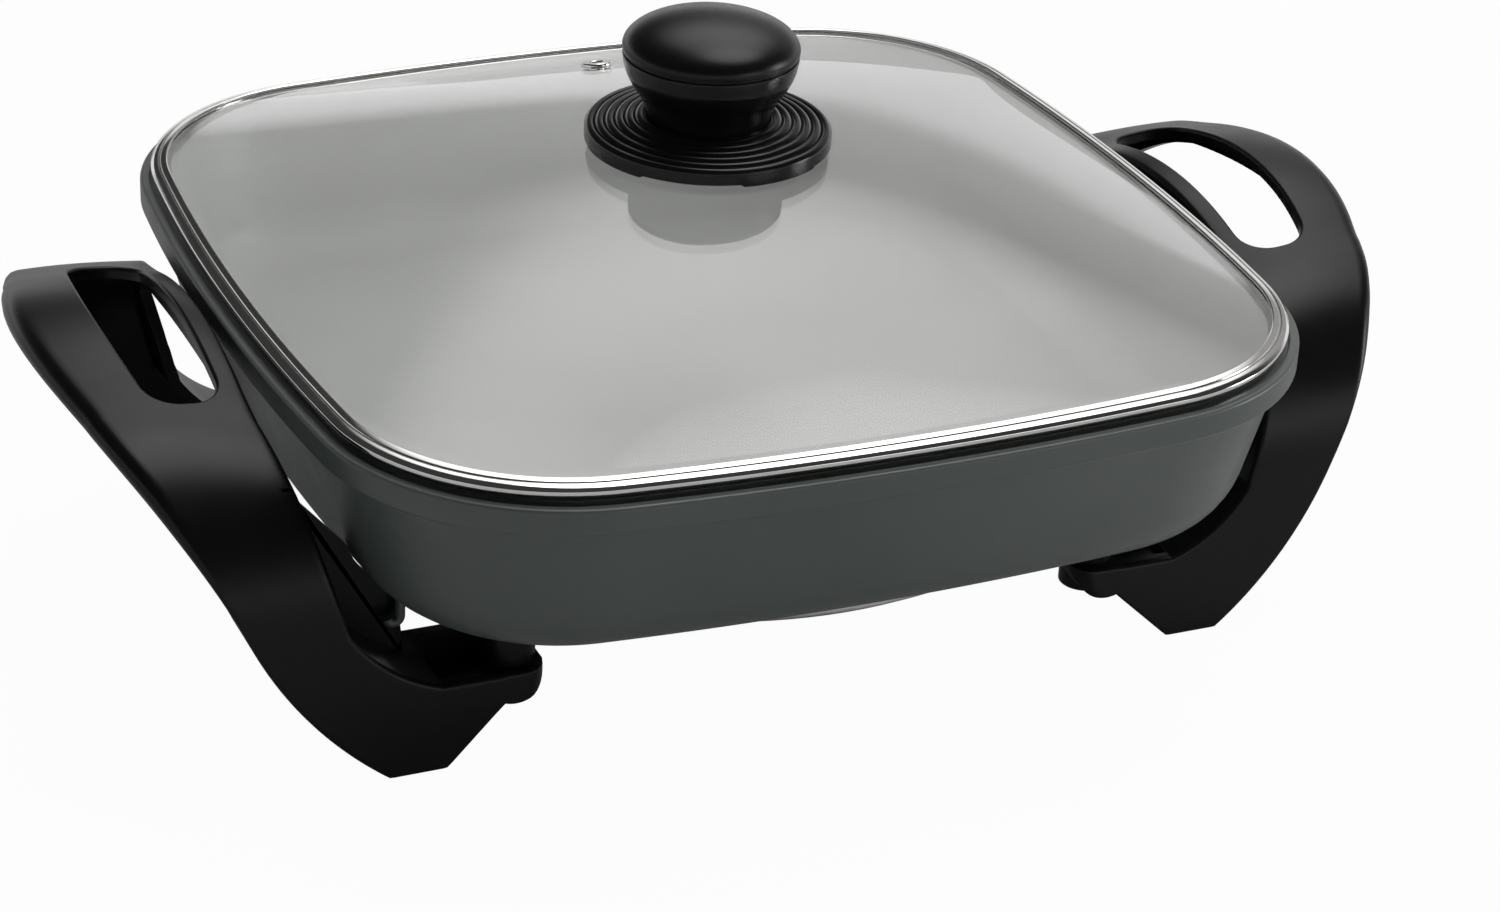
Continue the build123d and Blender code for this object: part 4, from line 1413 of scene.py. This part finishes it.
    def leg_plate(self) -> Array:
        """Plate between one leg and the pan: up the leg's inner edge, then down a slant and the pan's wall.

        Returns:
            Closed outline of x, z.
        """
        x0, (low, start, top) = self.plate_x, self.plate_z
        wall = Pan().flank(74.35, 0.15)
        wall = wall[wall[:, 0] > x0]
        z = np.linspace(top, wall[-1, 1], 40)
        slant = x0 + (z - self.slant_foot) * (self.inner_x - x0) / (top - self.slant_foot)
        clear = np.stack([np.maximum(slant, at_height(wall, z)), z], -1)
        z = np.linspace(low + 1.2, top, 30)
        leg = np.stack([at_height(self.inner_leg, z) + 1.5, z], -1)
        return np.concatenate([[(x0, low)], leg, clear, [(x0, start)]])

    def slab(self, outline: Array, sign: int) -> Array:
        """Prism of an x, z outline between the two y of the plate, on one side of the pan's middle."""
        x, z = outline.T
        return np.stack([np.stack([x * self.side, x * 0 + y * sign, z], -1) for y in self.plate_y])

    def fittings(self, finish: Material) -> Object:
        """Screw pillars and ribs behind the tabs at both legs, and the plate in one of them.

        Args:
            finish: plastic of the handle.

        Returns:
            The finished object.
        """
        name = "right" if self.side > 0 else "left"
        shell = Shell(f"{name}_handle_ribs")
        (out, head, screw), (foot, seat, top) = self.pillar_radii, self.pillar_z
        pillar = rounded([(head, foot, 0.3), (out, foot, 0.5), (out, top, 0.8), (screw, top, 0.3),
                          (screw, seat, 0), (head, seat, 0), (head, foot, 0.3)], 4)
        rib = np.array(self.rib)[None]
        rib = round_loops(rib[..., :2], rib[..., 2], 4)[0]
        x, y = self.pillar
        for sign in (-1, 1):
            shell.grid(lathe(pillar, 40, (x * self.side, y * sign, 0)))
            shell.grid(self.slab(rib, sign), capped=True)
        shell.grid(self.slab(self.leg_plate(), self.side), capped=True)
        return shell.build(Body.SKILLET, "handle_plastic", finish)


# ------------ studio
@dataclass(frozen=True)
class Lamp:
    """Soft area lamp that looks at a point."""

    name: str
    place: Triple
    size: Pair
    power: float
    aim: Triple = (0.0, 0.0, 0.06)

    def build(self) -> None:
        """Add the lamp to the scene."""
        data = bpy.data.lights.new(self.name, "AREA")
        data.shape = "RECTANGLE"
        data.size, data.size_y = self.size
        data.energy = self.power
        lamp = linked(self.name, data)
        lamp.location = self.place
        lamp.rotation_euler = (Vector(self.aim) - Vector(self.place)).to_track_quat("-Z", "Y").to_euler()


@dataclass(frozen=True)
class Glow:
    """Soft round patch of light in the surroundings, given by azimuth and elevation in degrees.

    The azimuth turns from the rear to the right. The light fades from the first to the second of the
    two angles round its middle.
    """

    azimuth: float
    elevation: float
    fade: Pair
    level: float

    def strength(self, n: Nodes, direction: Socket) -> Socket:
        """Light in a direction: the cosine to the middle, carried smoothly from the outer to the inner angle.

        Args:
            n: node tree of the world.
            direction: socket of the direction.

        Returns:
            The strength's socket.
        """
        a, e = math.radians(self.azimuth), math.radians(self.elevation)
        dot = n.add("VectorMath", operation="DOT_PRODUCT")
        dot.inputs[1].default_value = (math.sin(a) * math.cos(e), math.cos(a) * math.cos(e), math.sin(e))
        n.join(direction, dot.inputs[0])
        inner, outer = (math.cos(math.radians(v)) for v in self.fade)
        result = n.remap(dot.outputs["Value"], 0.0, self.level, outer, inner)
        result.node.interpolation_type = "SMOOTHSTEP"
        return result


@dataclass
class Studio:
    """White studio: floor, surroundings, lamps and camera."""

    azimuth: float = -24.72
    elevation: float = 27.16
    roll: float = 2.88
    eye: Triple = (-0.42863, -0.97181, 0.57709)
    lens: float = 94.2
    sensor: float = 36.0
    floor_half: float = 4.0
    floor_drop: float = 0.0002
    floor_steps: int = 9
    floor_grey: Pair = (0.62, 0.65)
    floor_seen: float = 0.97
    floor_mirrored: float = 0.1
    room_level: float = 0.05
    room_colour: Quad = (1, 0.985, 0.98, 1)
    wall_level: float = 0.34
    wall_x: Pair = (0.2, 0.5)
    wall_y: Pair = (0.1, 0.4)
    horizon_band: Pair = (0.1, 0.22)
    white: Quad = (1, 1, 1, 1)
    glows: tuple[Glow, ...] = (
        Glow(66.0, 72.0, (9.0, 24.0), 4.6),
        Glow(31.0, 53.0, (5.0, 29.0), 2.6))
    lamps: tuple[Lamp, ...] = (
        Lamp("front_fill", (1.1, -2.0, 0.5), (1.0, 0.6), 2.7),
        Lamp("right_strip", (1.7, -0.6, 0.3), (0.5, 0.9), 9.0, (0.1, -0.1, 0.07)))

    def world(self) -> None:
        """Dim room with soft glows above, a pale band at the horizon and a grey wall at the right.

        The strength is the largest of the room with its wall, the horizon and each glow. The camera sees
        it as plain white, also through the glass.
        """
        n = Nodes("studio", world=True)
        place = n.add("TexCoord").outputs["Generated"]
        axes = n.add("SeparateXYZ")
        n.join(place, axes.inputs[0])
        x, y, z = axes.outputs
        right = n.math("MULTIPLY", n.remap(x, 0.0, 1.0, *self.wall_x), n.remap(y, 0.0, 1.0, *self.wall_y))
        level = n.math("ADD", n.math("MULTIPLY", right, self.wall_level), self.room_level)
        horizon = n.remap(z, 1.0, 0.0, *self.horizon_band)
        for source in (horizon, *[glow.strength(n, place) for glow in self.glows]):
            level = n.math("MAXIMUM", level, source)
        light = n.add("Background", Color=self.room_colour)
        n.join(level, light.inputs["Strength"])
        n.mixed(n.seen(horizon), light, n.add("Background", Color=self.white, Strength=1.0))
        bpy.context.scene.world = n.material

    def floor(self) -> None:
        """Pale matt floor with a faint mottle, which the camera sees mostly as plain white."""
        n = Nodes("floor_paint")
        matt = n.add("BsdfPrincipled", Roughness=0.9)
        dark, light = ((grey, grey, grey) for grey in self.floor_grey)
        n.join(n.blend(n.remap(n.noise(3, 4), 0, 1), dark, light), matt.inputs["Base Color"])
        share = n.math("MULTIPLY", n.seen(self.floor_mirrored), self.floor_seen)
        n.mixed(share, matt, n.add("Emission", Color=self.white, Strength=1.0))
        t = np.linspace(-1, 1, self.floor_steps) * self.floor_half
        x, y = np.meshgrid(t, t)
        points = np.stack([x, y, x * 0 - self.floor_drop], -1).reshape(-1, 3)
        mesh = bpy.data.meshes.new("floor")
        mesh.from_pydata(points.tolist(), [], grid_faces(self.floor_steps, self.floor_steps, False).tolist())
        mesh.materials.append(n.material)
        floor = linked("floor", mesh)

    def camera(self) -> None:
        """Camera placed by azimuth, elevation and roll."""
        a, e, r = (math.radians(v) for v in (self.azimuth, self.elevation, self.roll))
        back = Vector((math.sin(a) * math.cos(e), -math.cos(a) * math.cos(e), math.sin(e)))
        right = Vector((math.cos(a), math.sin(a), 0))
        up = back.cross(right)
        side = right * math.cos(r) + up * math.sin(r)
        high = up * math.cos(r) - right * math.sin(r)
        data = bpy.data.cameras.new("camera")
        data.lens = self.lens
        data.sensor_width = self.sensor
        camera = linked("camera", data)
        turn = Matrix((side, high, back)).transposed().to_4x4()
        camera.matrix_world = Matrix.Translation(self.eye) @ turn
        bpy.context.scene.camera = camera

    def build(self) -> None:
        """Set up the whole studio."""
        self.world()
        self.floor()
        for lamp in self.lamps:
            lamp.build()
        self.camera()
        bpy.context.scene.view_settings.view_transform = "Standard"


# ------------ the whole skillet
FINISHES = (
    CoatedCasting(),
    CoatedCasting("cooking_face", (0.42, 0.42, 0.414), (0.48, 0.48, 0.472), (0.32, 0.42)),
    Metal("bare_casting", (0.62, 0.63, 0.62), (0.74, 0.75, 0.74), (0.3, 0.42)),
    MouldedPlastic(),
    MouldedPlastic("knob_plastic", roughness=(0.24, 0.32), grain_height=0.00002, gloss=0.24),
    MouldedPlastic("knob_gloss", roughness=(0.15, 0.21), gloss=0.3),
    ClearGlass(),
    Metal("rim_steel"),
    Metal("heater_steel", (0.34, 0.34, 0.33), (0.44, 0.44, 0.43), (0.35, 0.5)),
    Metal("plated_steel", (0.55, 0.55, 0.54), (0.66, 0.66, 0.65), (0.18, 0.3)),
    Metal("sheet_steel", (0.5, 0.5, 0.49), (0.6, 0.6, 0.59), (0.25, 0.4), patches=(90, 3), grain=(90, 3),
          stretch=(1, 12, 1)),
    Metal("insert_brass", (0.62, 0.45, 0.18), (0.72, 0.53, 0.24), (0.2, 0.32)),
    Matt("ceramic", (0.62, 0.6, 0.55), (0.72, 0.7, 0.66)),
    Matt("gasket_rubber", (0.012, 0.012, 0.012), (0.02, 0.02, 0.02)))
CAD_NODES = {  # the nodes that stay, by finish
    "heater_steel": ("heating_element",),
    "ceramic": ("terminal_insulators",),
    "sheet_steel": ("terminal_guard",),
    "plated_steel": ("terminal_pins", "sensor_tube", "guard_screws", "handle_screws", "handle_washers",
                     "knob_screw", "knob_washer"),
    "insert_brass": ("knob_insert",),
    "gasket_rubber": ("inner_gasket", "outer_gasket")}


def main() -> None:
    """Build the skillet and its studio."""
    logging.basicConfig(level=logging.INFO, format="%(message)s")
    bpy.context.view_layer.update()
    finishes = {finish.name: finish.material() for finish in FINISHES}
    pan, lid, knob = Pan(), Lid(), Knob()
    pieces = [
        pan.body(finishes["pan_coating"], finishes["cooking_face"]),
        pan.castings(finishes["pan_coating"], finishes["bare_casting"]),
        lid.glass(finishes["lid_glass"]),
        lid.band(finishes["rim_steel"]),
        lid.eyelet(finishes["rim_steel"]),
        knob.base(finishes["knob_gloss"]),
        knob.stem(finishes["knob_gloss"]),
        knob.cap(finishes["knob_plastic"])]
    for side, node in ((1, "right_handle"), (-1, "left_handle")):
        handle = Handle(side)
        plastic = finishes["handle_plastic"]
        pieces += [handle.moulding(plastic, node), handle.fittings(plastic)]
    for finish, names in CAD_NODES.items():
        for name in names:
            pieces.append(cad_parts[name])
            for place in pieces[-1].material_slots:
                place.material = finishes[finish]
    for piece in pieces:
        log.info("%s: %d faces", piece.name, len(piece.data.polygons))
    Studio().build()


if __name__ == "__main__":
    main()
